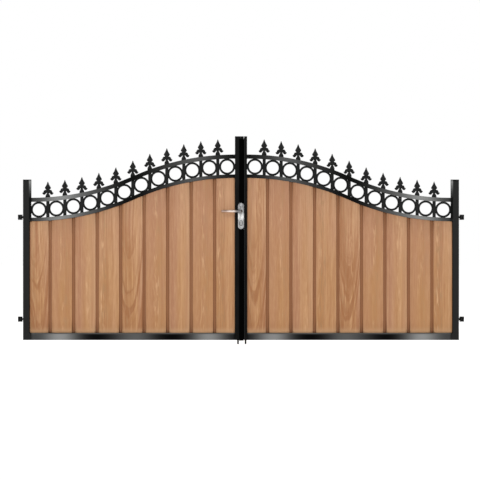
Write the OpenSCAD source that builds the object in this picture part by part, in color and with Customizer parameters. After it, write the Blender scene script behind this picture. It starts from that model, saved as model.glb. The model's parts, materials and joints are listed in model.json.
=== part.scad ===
// Double swan-neck driveway gate: steel frames filled with upright timber boards.
// Front view looks along +Y. X runs right, Z runs up, and z = 0 is the tip of the drop bolts.

/* [Opening] */
// Clear width between the two post faces
opening_w = 3054; // [2700:1:3400]
// Gap between the two leaves where they meet
meeting_gap = 3; // [2.5:0.5:6]

/* [Heights] */
// Reach of the drop bolts below the frame when they are down
bolt_reach = 30; // [20:1:50]
// Top edge of the top rail above the frame's underside, at the hinge stile
hinge_rail_h = 971; // [900:1:1100]
// Rise of both curved rails from the hinge stile to the meeting stile
swan_rise = 296; // [200:1:360]
// Drop from the top rail's top edge to the mid rail's top edge
rail_drop = 134; // [128:1:150]
// Height that every stile stands above the top rail beside it
stile_above = 126.5; // [90:0.5:160]

/* [Frame] */
// Depth of the frame, front to back
frame_depth = 50; // [46:1:70]
// Wall of the stile and bottom rail box sections
frame_wall = 3; // [2:0.5:4]
// Width of the hinge stiles
hinge_stile_w = 55; // [50:1:70]
// Width of the lock stile on the left leaf
lock_stile_w = 60; // [58:1:70]
// Width of the meeting stile on the right leaf
meeting_stile_w = 20; // [20:1:30]
// Wall of the meeting stile
meeting_wall = 2; // [1.5:0.5:3]
// Height of the bottom rails
bottom_rail_h = 48; // [40:1:60]
// Thickness of the curved rails, square to the curve
curve_rail_t = 26; // [20:1:28]
// Depth of the curved rails, front to back
curve_rail_depth = 40; // [36:1:46]
// Wall of the curved rails
curve_rail_wall = 2.5; // [1.5:0.5:4]
// Thickness of the flat top of a stile cap
cap_t = 4; // [2:0.5:8]
// Depth of the plug under a stile cap
cap_plug = 12; // [6:1:25]
// Wall of the plug under a stile cap
cap_wall = 2; // [1.5:0.5:3]

/* [Rings and bars] */
// Number of rings in each leaf
ring_count = 12; // [9:1:12]
// Radial width of a ring
ring_band = 12.5; // [6:0.5:14]
// Depth of a ring, front to back
ring_depth = 12; // [6:1:20]
// Width of the square bars between the rings
bar_w = 20; // [12:0.5:24]
// Gap beside each ring, where it is welded to its bars
ring_fit = 0.2; // [0.1:0.1:0.5]
// Most that a ring is ground flat at each side to fit between its bars
ring_flat = 6; // [2:0.5:8]
// How much wider the opening beside the hinge stile is than the others
low_bay_more = 7.5; // [0:0.5:12]
// How much wider the opening beside the lock or meeting stile is than the others
high_bay_more = 11; // [0:0.5:14]

/* [Finials] */
// Height of a finial above the top rail
finial_h = 110; // [90:1:125]
// Greatest width of the spear blade
blade_w = 38; // [28:1:44]
// Width over the two curled arms
arm_span = 75; // [60:1:84]
// Width of the flared foot
foot_w = 30; // [22:1:34]
// Thickness at the foot and at the arms
finial_t = 14; // [10:1:18]

/* [Boards] */
// Number of boards in each leaf
board_count = 9; // [6:1:10]
// Hinge stile to the middle of the nearest groove
low_edge_board_w = 130; // [100:0.25:160]
// Lock or meeting stile to the middle of the nearest groove
high_edge_board_w = 139.25; // [100:0.25:160]
// Thickness of a board
board_t = 18; // [16:1:22]
// Set-back of the boards from the front of the frame
board_setback = 10; // [6:1:14]
// Width of the open groove between boards
groove_w = 20; // [8:1:22]
// Depth of the open groove
groove_depth = 6; // [4:0.5:7]
// Thickness of a tongue
tongue_t = 5; // [4:0.5:6]
// Length of a tongue inside its groove
tongue_l = 8; // [5:0.5:12]
// Bevel on the front edges of a board
board_bevel = 2; // [1:0.5:3]
// Room left round a board for it to swell
board_fit = 0.5; // [0.2:0.1:1.5]

/* [Cross rails] */
// Depth of the straight cross rails behind the boards
cross_depth = 20; // [14:1:22]
// Height of the middle cross rail
cross_h = 40; // [30:1:60]
// Middle of that rail above the frame's underside
cross_z = 430; // [300:5:600]
// Height of the board stop on the bottom rail
stop_h = 20; // [16:1:30]
// Wall of the cross rails
cross_wall = 2; // [1.5:0.5:3]
// Height of the curved strap behind the board tops
strap_w = 30; // [20:1:45]
// Thickness of the curved strap
strap_t = 5; // [3:0.5:8]
// Diameter of a board screw
screw_d = 4.8; // [4:0.2:6]
// Depth of a board screw in the timber
screw_bite = 12; // [8:1:14]
// Diameter of a board screw's head
screw_head_d = 11; // [8:0.5:13]
// Thickness of a board screw's head
screw_head_t = 2.5; // [1.5:0.5:4]

/* [Hinges] */
// Diameter of a hinge pin
hinge_pin_d = 12; // [10:1:14]
// Radial clearance between the pin and the parts that turn or sit on it
pin_fit = 0.05; // [0.02:0.01:0.1]
// Outer diameter of the eye
eye_d = 23; // [20:0.5:26]
// Height of the eye
eye_h = 19.4; // [16:0.2:24]
// Thickness of a bracket ear
ear_t = 6; // [4:0.5:8]
// Thickness of the bracket's back plate
bracket_t = 5; // [4:0.5:8]
// Width of the back plate, front to back
bracket_w = 30; // [28:1:36]
// Thickness of a hinge pin's heads
pin_head_t = 2; // [1.5:0.5:4]
// Diameter of the threaded shank of an eye bolt
shank_d = 16; // [12:1:18]
// Distance from the hinge axis to the hinge stile
hinge_reach = 19; // [17:0.5:24]
// Outer diameter of the threaded sleeve in the stile
sleeve_d = 20; // [18:0.5:22]
// Length of the threaded sleeve
sleeve_l = 45; // [30:1:50]
// Distance of the hinge axis behind the middle of the frame
hinge_back = 11; // [9:0.5:11.5]
// Height of the upper hinges above the frame's underside
upper_hinge_h = 840; // [700:1:900]
// Height of the lower hinges above the frame's underside
lower_hinge_h = 142; // [100:1:300]

/* [Cover strip and seal] */
// Width of the black strip down the lock stile
strip_w = 31; // [24:1:40]
// Thickness of that strip
strip_t = 3; // [2:0.5:6]
// Distance from the top of the strip to the top of the stile
strip_below_top = 18; // [10:1:40]
// Reach of the strip below the frame
strip_under = 4; // [0:1:8]
// Thickness of the seal in the meeting gap
seal_t = 2; // [1:0.1:2]
// Width of the seal, front to back
seal_w = 6; // [4:1:8]

/* [Handle and lock] */
// Height of the lever's axis above the frame's underside
lever_h = 881; // [850:1:920]
// Distance from the lever's axis down to the key cylinder
cylinder_drop = 72; // [70:1:92]
// Distance from the lever's axis up to the top of the handle plate
plate_above = 56; // [52:1:70]
// Height of the handle plate
plate_h = 178; // [174:1:230]
// Width of the handle plate
plate_w = 40; // [34:1:40]
// Thickness of the handle plate
plate_t = 8; // [6:1:12]
// Distance from each end of a handle plate to its bolt
plate_bolt_inset = 14; // [12:1:16]
// Diameter of the bolts through both handle plates
plate_bolt_d = 5; // [4:0.5:6]
// Diameter of the round bar of a lever
lever_d = 19; // [16:1:20]
// Length of a lever from its axis
lever_l = 135; // [110:1:150]
// Distance from the handle plate to the middle of the lever's grip
lever_out = 22; // [20:1:35]
// Width of the square spindle
spindle_w = 8; // [7:0.5:9]
// Width of the lock case, front to back
case_w = 18; // [17:1:24]
// Depth of the lock case behind the edge of the stile
case_depth = 48.5; // [46:0.5:52]
// Wall of the lock case
case_wall = 1.5; // [1:0.25:2]
// Thickness of the lock's fore-end plate
forend_t = 1.5; // [1:0.1:1.5]
// Width of the fore-end plate
forend_w = 22; // [18:1:22]
// Reach of the fore-end past each end of the case
forend_over = 11; // [9:1:14]
// Thickness of the latch and of the dead bolt
bolt_t = 11.4; // [8:0.2:12]
// Height of the latch bolt
latch_h = 18; // [12:1:18]
// Height of the dead bolt
deadbolt_h = 26; // [16:1:28]
// Travel of the latch when the lever is pushed down
latch_travel = 10; // [6:0.5:11]
// Throw of the dead bolt
deadbolt_throw = 14; // [8:0.5:14]
// Room round each bolt in its slot
slot_fit = 0.4; // [0.2:0.1:1]
// Thickness of the keep plate
keep_t = 1.5; // [1:0.5:3]

/* [Drop bolts] */
// Diameter of a drop bolt
rod_d = 13; // [10:0.5:14]
// Diameter of its turned tip
rod_tip_d = 12; // [8:0.5:13]
// Length of the turned tip
rod_tip_l = 27; // [20:1:40]
// Height of the rod's straight part
rod_h = 500; // [480:5:700]
// Length of the bent handle
rod_handle_l = 70; // [50:1:100]
// Lift of a drop bolt
rod_lift = 110; // [60:5:150]
// Width of a guide
guide_w = 20; // [18:1:20]
// Height of a guide
guide_h = 16; // [10:1:24]
// Underside of the lowest guide above the frame's underside
guide_z = 30; // [15:1:60]
// Distance from the lock stile's board edge to its drop bolt
rod_inset = 21; // [16:0.5:30]

/* [Hidden] */
$fn = 48;

// Small overlap that carries a cutting shape past the face it cuts
cut = 1;
// Gap between pieces that move against each other face to face
run_fit = 0.3;
// Gap round a screw or bolt in its hole
hole_fit = 0.1;
LEFT = -1;
RIGHT = 1;

// Frame outline, written for the left leaf, whose x is negative
half_depth = frame_depth / 2;
meet_x = (lock_stile_w + meeting_gap + meeting_stile_w) / 2;
hinge_set = bracket_t + eye_d / 2 + 0.5;
hinge_x = -(opening_w / 2 - hinge_set);
stile_x = hinge_x + hinge_reach;
bay_x0 = stile_x + hinge_stile_w;
bay_x1 = -meet_x;
bay_w = bay_x1 - bay_x0;
lock_face_x = -meet_x + lock_stile_w;
keep_face_x = meet_x - meeting_stile_w;
under_z = bolt_reach;
rail_top_z = under_z + bottom_rail_h;
low_z = under_z + hinge_rail_h;
high_z = low_z + swan_rise;

// The swan neck is two equal arcs, level at both stiles and tangent where they meet
turn_a = 2 * atan(swan_rise / bay_w);
curve_r = bay_w / (2 * sin(turn_a));

// Height of a curved edge at x: drop lowers the whole curve, and t goes in square to it
function edge_z(x, drop, t) =
    x < (bay_x0 + bay_x1) / 2
    ? low_z + curve_r - drop - sqrt(pow(curve_r + t, 2) - pow(x - bay_x0, 2))
    : high_z - curve_r - drop + sqrt(pow(curve_r - t, 2) - pow(bay_x1 - x, 2));

// Rings and bars
last_ring = ring_count - 1;
ring_bay = (bay_w - last_ring * bar_w - low_bay_more - high_bay_more) / ring_count;
ring_r = min(rail_drop - curve_rail_t, ring_bay + 2 * ring_flat) / 2 - ring_fit;
function bar_x(i) = bay_x0 + low_bay_more + (i + 1) * ring_bay + (i + 0.5) * bar_w;
function opening_x0(i) = i == 0 ? bay_x0 : bar_x(i - 1) + bar_w / 2;
function opening_x1(i) = i == last_ring ? bay_x1 : bar_x(i) - bar_w / 2;
function ring_x(i) = (opening_x0(i) + opening_x1(i)) / 2;
function ring_z(i) = (edge_z(ring_x(i), 0, curve_rail_t) + edge_z(ring_x(i), rail_drop, 0)) / 2;

// Boards, in plan
front_y = -half_depth + board_setback;
back_y = front_y + board_t;
last_board = board_count - 1;
board_cover = (bay_w - low_edge_board_w - high_edge_board_w) / (board_count - 2);
function groove_x(i) = bay_x0 + low_edge_board_w + i * board_cover;
function board_x0(i) = i == 0 ? bay_x0 + board_fit : groove_x(i - 1) + groove_w / 2;
function board_x1(i) = i == last_board ? bay_x1 - board_fit : groove_x(i) - groove_w / 2;
function board_mid(i) = (board_x0(i) + board_x1(i)) / 2;
cross_mid_z = under_z + cross_z;
stop_mid_z = rail_top_z + stop_h / 2;
straight_rows = [stop_mid_z, cross_mid_z];
function strap_mid_z(x) = edge_z(x, rail_drop, curve_rail_t + strap_w / 2);

// Hinges
hinge_zs = [under_z + lower_hinge_h, under_z + upper_hinge_h];
ear_gap = eye_h + 2 * run_fit;
bore_r = hinge_pin_d / 2 + pin_fit;
ear_r = eye_d / 2 + 0.5;
sleeve_x1 = stile_x + sleeve_l;

// Lock, on the axis x = 0
lever_z = under_z + lever_h;
cylinder_z = lever_z - cylinder_drop;
plate_z1 = lever_z + plate_above;
plate_z0 = plate_z1 - plate_h;
plate_bolt_zs = [plate_z0 + plate_bolt_inset, plate_z1 - plate_bolt_inset];
case_z0 = plate_bolt_zs[0] + plate_bolt_d / 2 + 1.5;
case_z1 = plate_bolt_zs[1] - plate_bolt_d / 2 - 2.5;
case_x0 = lock_face_x - case_depth;
forend_x1 = lock_face_x + forend_t;
strip_face_y = -half_depth - strip_t;
front_plate_y = strip_face_y - plate_t;
rear_plate_y = half_depth + plate_t;
follower_r = spindle_w / 2 + 5;
follower_arm = follower_r + 4;
arm_w = 6;
latch_z0 = lever_z + follower_arm + 1;
latch_z = latch_z0 + latch_h / 2;
deadbolt_z = cylinder_z + 23 + deadbolt_h / 2;
latch_back_x = -6;
latch_tail_r = 2.5;
latch_tail_l = latch_back_x - case_x0 - case_wall - latch_travel - 1.5;
deadbolt_back_x = forend_x1 - deadbolt_throw - 17;
euro_r = 8.5;
euro_leg_w = 10;
euro_leg_z = -19.5;
plug_r = 6.5;
plug_fit = 0.05;
cam_r = 13.2;
cam_w = 9;
cylinder_proud = 2;
cylinder_y0 = front_plate_y - cylinder_proud;
cylinder_y1 = rear_plate_y + cylinder_proud;
forend_screw_d = 4;
cylinder_screw_d = 5;
cylinder_screw_x0 = -3;
forend_z0 = case_z0 - forend_over;
forend_z1 = case_z1 + forend_over;
forend_screw_zs = [(forend_z0 + case_z0) / 2, (forend_z1 + case_z1) / 2];
keep_plate_x0 = keep_face_x + meeting_wall;
keep_end = 20;
keep_z0 = deadbolt_z - deadbolt_h / 2 - keep_end;
keep_z1 = latch_z + latch_h / 2 + keep_end;
keep_screw_zs = [keep_z0 + keep_end / 2, keep_z1 - keep_end / 2];

// Drop bolts
rod_y = half_depth + guide_w / 2;
left_rod_x = -meet_x + rod_inset;
right_rod_x = keep_face_x + meeting_stile_w / 2;
collar_d = rod_d + 6;
collar_h = 6;
collar_z = under_z + guide_z + guide_h + run_fit;
guide_zs = [under_z + guide_z, collar_z + collar_h + rod_lift + run_fit, rod_h - 70];
rod_bend_r = 15;

// Draws for the left leaf, or mirrored for the right one
module on_side(s) {
    if (s == RIGHT) mirror([1, 0, 0]) children();
    else children();
}

module along_y(y0, y1) {
    translate([0, y1, 0]) rotate([90, 0, 0]) linear_extrude(height = y1 - y0) children();
}

module rod_along_x(y, z, r, x0, x1) {
    translate([x0, y, z]) rotate([0, 90, 0]) cylinder(r = r, h = x1 - x0);
}

module rod_along_y(x, z, r, y0, y1) {
    translate([x, y0, z]) rotate([-90, 0, 0]) cylinder(r = r, h = y1 - y0);
}

module box_tube(x0, x1, z0, z1, wall) {
    difference() {
        translate([x0, -half_depth, z0]) cube([x1 - x0, frame_depth, z1 - z0]);
        translate([x0 + wall, -half_depth + wall, z0 - cut])
            cube([x1 - x0 - 2 * wall, frame_depth - 2 * wall, z1 - z0 + 2 * cut]);
    }
}

// A level tube from stile to stile, hollow along x
module level_tube(z0, z1, y0, y1, wall) {
    difference() {
        translate([bay_x0, y0, z0]) cube([bay_w, y1 - y0, z1 - z0]);
        translate([bay_x0 - cut, y0 + wall, z0 + wall])
            cube([bay_w + 2 * cut, y1 - y0 - 2 * wall, z1 - z0 - 2 * wall]);
    }
}

// All that lies under a curved edge, between two depths: over carries it past both stiles
module under_curve(drop, t, y0, y1, over = 0) {
    split_x = bay_x0 + (curve_r + t) * sin(turn_a);
    difference() {
        translate([bay_x0 - over, y0, 0]) cube([split_x - bay_x0 + over, y1 - y0, high_z]);
        translate([0, 0, low_z + curve_r - drop])
            rod_along_y(bay_x0, 0, curve_r + t, y0 - cut, y1 + cut, $fn = 180);
    }
    intersection() {
        translate([split_x, y0, 0]) cube([bay_x1 - split_x + over, y1 - y0, high_z]);
        translate([0, 0, high_z - curve_r - drop])
            rod_along_y(bay_x1, 0, curve_r - t, y0 - cut, y1 + cut, $fn = 180);
    }
}

// A band that follows the swan neck, from t0 to t1 below its edge, hollow if it has a wall
module swan_band(drop, t0, t1, y0, y1, wall) {
    difference() {
        under_curve(drop, t0, y0, y1);
        under_curve(drop, t1, y0 - cut, y1 + cut, cut);
        if (wall > 0) difference() {
            under_curve(drop, t0 + wall, y0 + wall, y1 - wall, cut);
            under_curve(drop, t1 - wall, y0, y1, 2 * cut);
        }
    }
}

// All the room in a leaf that lies under the mid rail
module under_mid_rail() {
    under_curve(rail_drop, curve_rail_t + board_fit, -half_depth, half_depth);
}

// Hinges

module bracket(z) {
    translate([hinge_x - hinge_set, hinge_back - bracket_w / 2, z - ear_gap / 2 - ear_t])
        cube([bracket_t, bracket_w, ear_gap + 2 * ear_t]);
    for (ear_z = [z - ear_gap / 2 - ear_t, z + ear_gap / 2]) difference() {
        union() {
            translate([hinge_x, hinge_back, ear_z]) cylinder(r = ear_r, h = ear_t);
            translate([hinge_x - hinge_set + bracket_t / 2, hinge_back - ear_r, ear_z])
                cube([hinge_set - bracket_t / 2, 2 * ear_r, ear_t]);
        }
        translate([hinge_x, hinge_back, ear_z - cut]) cylinder(r = bore_r, h = ear_t + 2 * cut);
    }
}

module hinge_brackets(s) {
    color("#1b1c1d") on_side(s) for (z = hinge_zs) bracket(z);
}

module hinge_pins() {
    half_h = ear_gap / 2 + ear_t;
    color("#2a2b2c") for (s = [LEFT, RIGHT], z = hinge_zs) on_side(s)
        translate([hinge_x, hinge_back, z]) {
            cylinder(r = hinge_pin_d / 2, h = 2 * half_h, center = true);
            translate([0, 0, half_h]) cylinder(r = hinge_pin_d / 2 + 3, h = pin_head_t);
            translate([0, 0, -half_h - pin_head_t])
                cylinder(r = hinge_pin_d / 2 + 2, h = pin_head_t);
        }
}

module eye_bolts(s) {
    color("#2a2b2c") on_side(s) for (z = hinge_zs) difference() {
        union() {
            translate([hinge_x, hinge_back, z]) cylinder(d = eye_d, h = eye_h, center = true);
            rod_along_x(hinge_back, z, shank_d / 2, hinge_x, sleeve_x1 - 4);
        }
        translate([hinge_x, hinge_back, z])
            cylinder(r = bore_r, h = eye_h + 2 * cut, center = true);
    }
}

module hinge_sleeves(s) {
    color("#3a3b3c") on_side(s) for (z = hinge_zs) difference() {
        rod_along_x(hinge_back, z, sleeve_d / 2, stile_x, sleeve_x1);
        rod_along_x(hinge_back, z, shank_d / 2 + pin_fit, stile_x - cut, sleeve_x1 + cut);
    }
}

// Frame

hinge_stile_top = low_z + stile_above - cap_t;
meeting_stile_top = high_z + stile_above - cap_t;

module hinge_stile(s) {
    color("#26282a") on_side(s) difference() {
        box_tube(stile_x, bay_x0, under_z, hinge_stile_top, frame_wall);
        for (z = hinge_zs)
            rod_along_x(hinge_back, z, sleeve_d / 2 + pin_fit, stile_x - cut,
                stile_x + frame_wall + cut);
    }
}

module euro_shape(grow) {
    circle(r = euro_r + grow);
    translate([-euro_leg_w / 2 - grow, euro_leg_z]) square([euro_leg_w + 2 * grow, -euro_leg_z]);
    translate([0, euro_leg_z]) circle(r = euro_leg_w / 2 + grow);
}

// The holes that the handle, the key cylinder and the plate bolts need, front to back
module handle_holes(y0, y1) {
    rod_along_y(0, lever_z, lever_d / 2 + run_fit, y0, y1);
    translate([0, 0, cylinder_z]) along_y(y0, y1) euro_shape(run_fit);
    for (z = plate_bolt_zs) rod_along_y(0, z, plate_bolt_d / 2 + hole_fit, y0, y1);
}

module lock_stile() {
    mortise_fit = 0.2;
    color("#232527") difference() {
        box_tube(bay_x1, lock_face_x, under_z, meeting_stile_top, frame_wall);
        handle_holes(-frame_depth, frame_depth);
        translate([lock_face_x - frame_wall - cut, -case_w / 2 - mortise_fit, case_z0 - mortise_fit])
            cube([frame_wall + 2 * cut, case_w + 2 * mortise_fit,
                case_z1 - case_z0 + 2 * mortise_fit]);
        for (z = forend_screw_zs)
            rod_along_x(0, z, forend_screw_d / 2 + hole_fit, lock_face_x - frame_wall - cut,
                lock_face_x + cut);
    }
}

module bolt_slot(z, h, x0, x1) {
    w = bolt_t + 2 * slot_fit;
    translate([x0, -w / 2, z - h / 2 - slot_fit]) cube([x1 - x0, w, h + 2 * slot_fit]);
}

module keep_cuts(x0, x1) {
    bolt_slot(latch_z, latch_h, x0, x1);
    bolt_slot(deadbolt_z, deadbolt_h, x0, x1);
    for (z = keep_screw_zs) rod_along_x(0, z, forend_screw_d / 2 + hole_fit, x0, x1);
}

module meeting_stile() {
    color("#232527") difference() {
        box_tube(keep_face_x, meet_x, under_z, meeting_stile_top, meeting_wall);
        keep_cuts(keep_face_x - cut, keep_plate_x0 + cut);
    }
}

module stile_cap(x0, x1, z, wall) {
    inset = wall + hole_fit;
    translate([x0, -half_depth, z]) cube([x1 - x0, frame_depth, cap_t]);
    translate([x0 + inset, -half_depth + inset, z - cap_plug]) difference() {
        cube([x1 - x0 - 2 * inset, frame_depth - 2 * inset, cap_plug + cap_t / 2]);
        translate([cap_wall, cap_wall, -cut])
            cube([x1 - x0 - 2 * inset - 2 * cap_wall, frame_depth - 2 * inset - 2 * cap_wall,
                cap_plug + cut]);
    }
}

module stile_caps(s) {
    color("#141516") {
        on_side(s) stile_cap(stile_x, bay_x0, hinge_stile_top, frame_wall);
        if (s == LEFT) stile_cap(bay_x1, lock_face_x, meeting_stile_top, frame_wall);
        else stile_cap(keep_face_x, meet_x, meeting_stile_top, meeting_wall);
    }
}

module bottom_rail(s) {
    color("#2b2d2f") on_side(s)
        level_tube(under_z, rail_top_z, -half_depth, half_depth, frame_wall);
}

module mid_rail(s) {
    color("#2b2d2f") on_side(s)
        swan_band(rail_drop, 0, curve_rail_t, -curve_rail_depth / 2, curve_rail_depth / 2,
            curve_rail_wall);
}

module top_rail(s) {
    color("#2b2d2f") on_side(s)
        swan_band(0, 0, curve_rail_t, -curve_rail_depth / 2, curve_rail_depth / 2,
            curve_rail_wall);
}

// Clearance holes for the board screws, one through each board at each height
module screw_holes(zs, y0, y1) {
    for (i = [0 : last_board], z = zs)
        rod_along_y(board_mid(i), z, screw_d / 2 + hole_fit, y0, y1);
}

module strap_screw_holes(y0, y1) {
    for (i = [0 : last_board])
        rod_along_y(board_mid(i), strap_mid_z(board_mid(i)), screw_d / 2 + hole_fit, y0, y1);
}

module cross_rails(s) {
    color("#2b2d2f") on_side(s) difference() {
        union() {
            level_tube(rail_top_z, rail_top_z + stop_h, back_y, back_y + cross_depth, cross_wall);
            level_tube(cross_mid_z - cross_h / 2, cross_mid_z + cross_h / 2, back_y,
                back_y + cross_depth, cross_wall);
        }
        screw_holes(straight_rows, back_y - cut, back_y + cross_depth + cut);
    }
}

module board_strap(s) {
    color("#2b2d2f") on_side(s) difference() {
        swan_band(rail_drop, curve_rail_t, curve_rail_t + strap_w, back_y, back_y + strap_t, 0);
        strap_screw_holes(back_y - cut, back_y + strap_t + cut);
    }
}

// Rings, bars and finials

// Trims what lies between the curved rails to the rails' own faces
module between_rails() {
    difference() {
        children();
        swan_band(0, 0, curve_rail_t, -half_depth, half_depth, 0);
        swan_band(rail_drop, 0, curve_rail_t, -half_depth, half_depth, 0);
    }
}

module bar(x) {
    z0 = edge_z(x, rail_drop, curve_rail_t / 2);
    z1 = edge_z(x, 0, curve_rail_t / 2);
    translate([x - bar_w / 2, -bar_w / 2, z0]) cube([bar_w, bar_w, z1 - z0]);
}

module bars(s) {
    color("#202122") on_side(s) between_rails() for (i = [0 : last_ring - 1]) bar(bar_x(i));
}

// A ring, ground flat where it meets the bars or stiles beside it
module ring(i) {
    x0 = opening_x0(i) + ring_fit;
    x1 = opening_x1(i) - ring_fit;
    difference() {
        intersection() {
            rod_along_y(ring_x(i), ring_z(i), ring_r, -ring_depth / 2, ring_depth / 2);
            translate([x0, -ring_depth, ring_z(i) - 2 * ring_r])
                cube([x1 - x0, 2 * ring_depth, 4 * ring_r]);
        }
        rod_along_y(ring_x(i), ring_z(i), ring_r - ring_band, -ring_depth, ring_depth);
    }
}

module rings(s) {
    color("#1a1b1c") on_side(s) between_rails() for (i = [0 : last_ring]) ring(i);
}

// Right half of a spear finial's front from its tip to its stem, in shares of its blade's width
// and of its height
function blade_half() = [for (p = [
    [0, 0], [0.09, 0.082], [0.163, 0.155], [0.242, 0.218], [0.34, 0.282], [0.437, 0.336],
    [0.492, 0.377], [0.5, 0.409], [0.447, 0.45], [0.337, 0.491], [0.274, 0.523], [0.237, 0.545],
    [0.197, 0.6]
]) [p[0] * blade_w, -p[1] * finial_h]];

// Its waist and flared foot, in shares of the foot's width and of the height
function foot_half() = [for (p = [
    [0.167, 0.69], [0.233, 0.736], [0.313, 0.791], [0.393, 0.836], [0.467, 0.882], [0.5, 0.927]
]) [p[0] * foot_w, -p[1] * finial_h]];

// Its right arm: over the shoulder, out to the curled tip, and back under the lobe, in shares of
// the arms' span and of the height
function arm_outline() = [for (p = [
    [0, 0.518], [0.147, 0.52], [0.26, 0.535], [0.324, 0.566], [0.363, 0.614], [0.389, 0.673],
    [0.433, 0.705], [0.5, 0.714], [0.475, 0.759], [0.413, 0.791], [0.34, 0.814], [0.267, 0.807],
    [0.208, 0.777], [0.165, 0.732], [0.1, 0.705], [0, 0.7]
]) [p[0] * arm_span, -p[1] * finial_h]];

function flip_x(points) = [for (i = [len(points) - 1 : -1 : 1]) [-points[i][0], points[i][1]]];

module finial(x) {
    weld = 0.1;
    base_z = edge_z(x, 0, 0);
    foot_zs = [for (fx = [x - foot_w / 2, x + foot_w / 2]) edge_z(fx, 0, 0) - base_z + weld];
    half = concat(blade_half(), foot_half());
    translate([x, 0, base_z + finial_h]) intersection() {
        union() {
            along_y(-finial_t / 2, finial_t / 2) polygon(concat(
                half,
                [[foot_w / 2, foot_zs[1] - finial_h], [-foot_w / 2, foot_zs[0] - finial_h]],
                flip_x(half)
            ));
            along_y(-finial_t / 2, finial_t / 2) {
                polygon(arm_outline());
                mirror([1, 0]) polygon(arm_outline());
            }
        }
        // Side view: thin at the tip, fullest at the blade's belly and at the foot
        rotate([90, 0, 90])
            linear_extrude(height = arm_span + foot_w, center = true) polygon([
                [-1, cut], [1, cut], [finial_t * 0.5, finial_h * -0.4],
                [finial_t * 0.36, finial_h * -0.58], [finial_t * 0.5, finial_h * -0.85],
                [finial_t * 0.5, finial_h * -1.2], [finial_t * -0.5, finial_h * -1.2],
                [finial_t * -0.5, finial_h * -0.85], [finial_t * -0.36, finial_h * -0.58],
                [finial_t * -0.5, finial_h * -0.4]
            ]);
    }
}

module finials(s) {
    color("#161718") on_side(s) for (i = [0 : last_ring - 1]) finial(bar_x(i));
}

// Boards

// Plan of a board: open groove and tongue on its right, and a slot on its left
function board_plan(i) =
    let (
        x0 = board_x0(i),
        x1 = board_x1(i),
        tongue_y0 = front_y + groove_depth,
        tongue_y1 = tongue_y0 + tongue_t,
        slack = 0.2
    )
    concat(
        [[x0 + board_bevel, front_y], [x1 - board_bevel, front_y], [x1, front_y + board_bevel]],
        i == last_board ? [[x1, back_y]] : [
            [x1, tongue_y0], [x1 + groove_w + tongue_l, tongue_y0],
            [x1 + groove_w + tongue_l, tongue_y1], [x1 + groove_w - board_fit, tongue_y1],
            [x1 + groove_w - board_fit, back_y]
        ],
        [[x0, back_y]],
        i == 0 ? [] : [
            [x0, tongue_y1 + slack], [x0 + tongue_l + 1, tongue_y1 + slack],
            [x0 + tongue_l + 1, tongue_y0 - slack], [x0, tongue_y0 - slack]
        ],
        [[x0, front_y + board_bevel]]
    );

module boards(s) {
    foot_z = rail_top_z + board_fit;
    color("#bd8d66") on_side(s) difference() {
        intersection() {
            for (i = [0 : last_board]) translate([0, 0, foot_z])
                linear_extrude(height = high_z - foot_z) polygon(board_plan(i));
            under_mid_rail();
        }
        screw_holes(straight_rows, back_y - screw_bite, back_y + cut);
        strap_screw_holes(back_y - screw_bite, back_y + cut);
    }
}

module board_screw(x, z, seat_y) {
    rod_along_y(x, z, screw_d / 2, back_y - screw_bite, seat_y);
    rod_along_y(x, z, screw_head_d / 2, seat_y, seat_y + screw_head_t);
}

module board_screws(s) {
    color("#4a4c4e") on_side(s) for (i = [0 : last_board]) {
        for (z = straight_rows) board_screw(board_mid(i), z, back_y + cross_depth);
        board_screw(board_mid(i), strap_mid_z(board_mid(i)), back_y + strap_t);
    }
}

// Cover strip and seal

module cover_strip() {
    z0 = under_z - strip_under;
    z1 = meeting_stile_top + cap_t - strip_below_top;
    color("#050506") difference() {
        translate([lock_face_x - strip_w, strip_face_y, z0]) cube([strip_w, strip_t, z1 - z0]);
        handle_holes(strip_face_y - cut, -half_depth + cut);
    }
}

// The seal leaves room for the handle plates and the fore-end, which reach into the gap
module gap_seal() {
    seal_y = hinge_back + 2;
    seal_end = 5;
    z0 = under_z + strip_under;
    z1 = meeting_stile_top - strip_under;
    color("#0a0a0a") for (zs = [[z0, plate_z0 - seal_end], [plate_z1 + seal_end, z1]])
        translate([keep_face_x - seal_t, seal_y, zs[0]]) cube([seal_t, seal_w, zs[1] - zs[0]]);
}

// Handle and lock

// A handle plate between two depths, with round ends
module handle_plate(y0, y1) {
    r = plate_w / 2;
    head_y = y0 < 0 ? y0 : y1;
    difference() {
        along_y(y0, y1) {
            translate([-r, plate_z0 + r]) square([plate_w, plate_h - plate_w]);
            translate([0, plate_z0 + r]) circle(r = r);
            translate([0, plate_z1 - r]) circle(r = r);
        }
        handle_holes(y0 - cut, y1 + cut);
        for (z = plate_bolt_zs)
            rod_along_y(0, z, plate_bolt_d + hole_fit, head_y - plate_bolt_d / 2,
                head_y + plate_bolt_d / 2);
    }
}

module front_handle_plate() {
    color("#c9cacb") handle_plate(front_plate_y, strip_face_y);
}

module rear_handle_plate() {
    color("#c9cacb") handle_plate(half_depth, rear_plate_y);
}

module handle_plate_bolts() {
    head_t = plate_bolt_d / 2;
    color("#b5b6b7") for (z = plate_bolt_zs) {
        rod_along_y(0, z, plate_bolt_d / 2, front_plate_y, rear_plate_y);
        rod_along_y(0, z, plate_bolt_d, front_plate_y, front_plate_y + head_t);
        rod_along_y(0, z, plate_bolt_d, rear_plate_y - head_t, rear_plate_y);
    }
}

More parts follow.
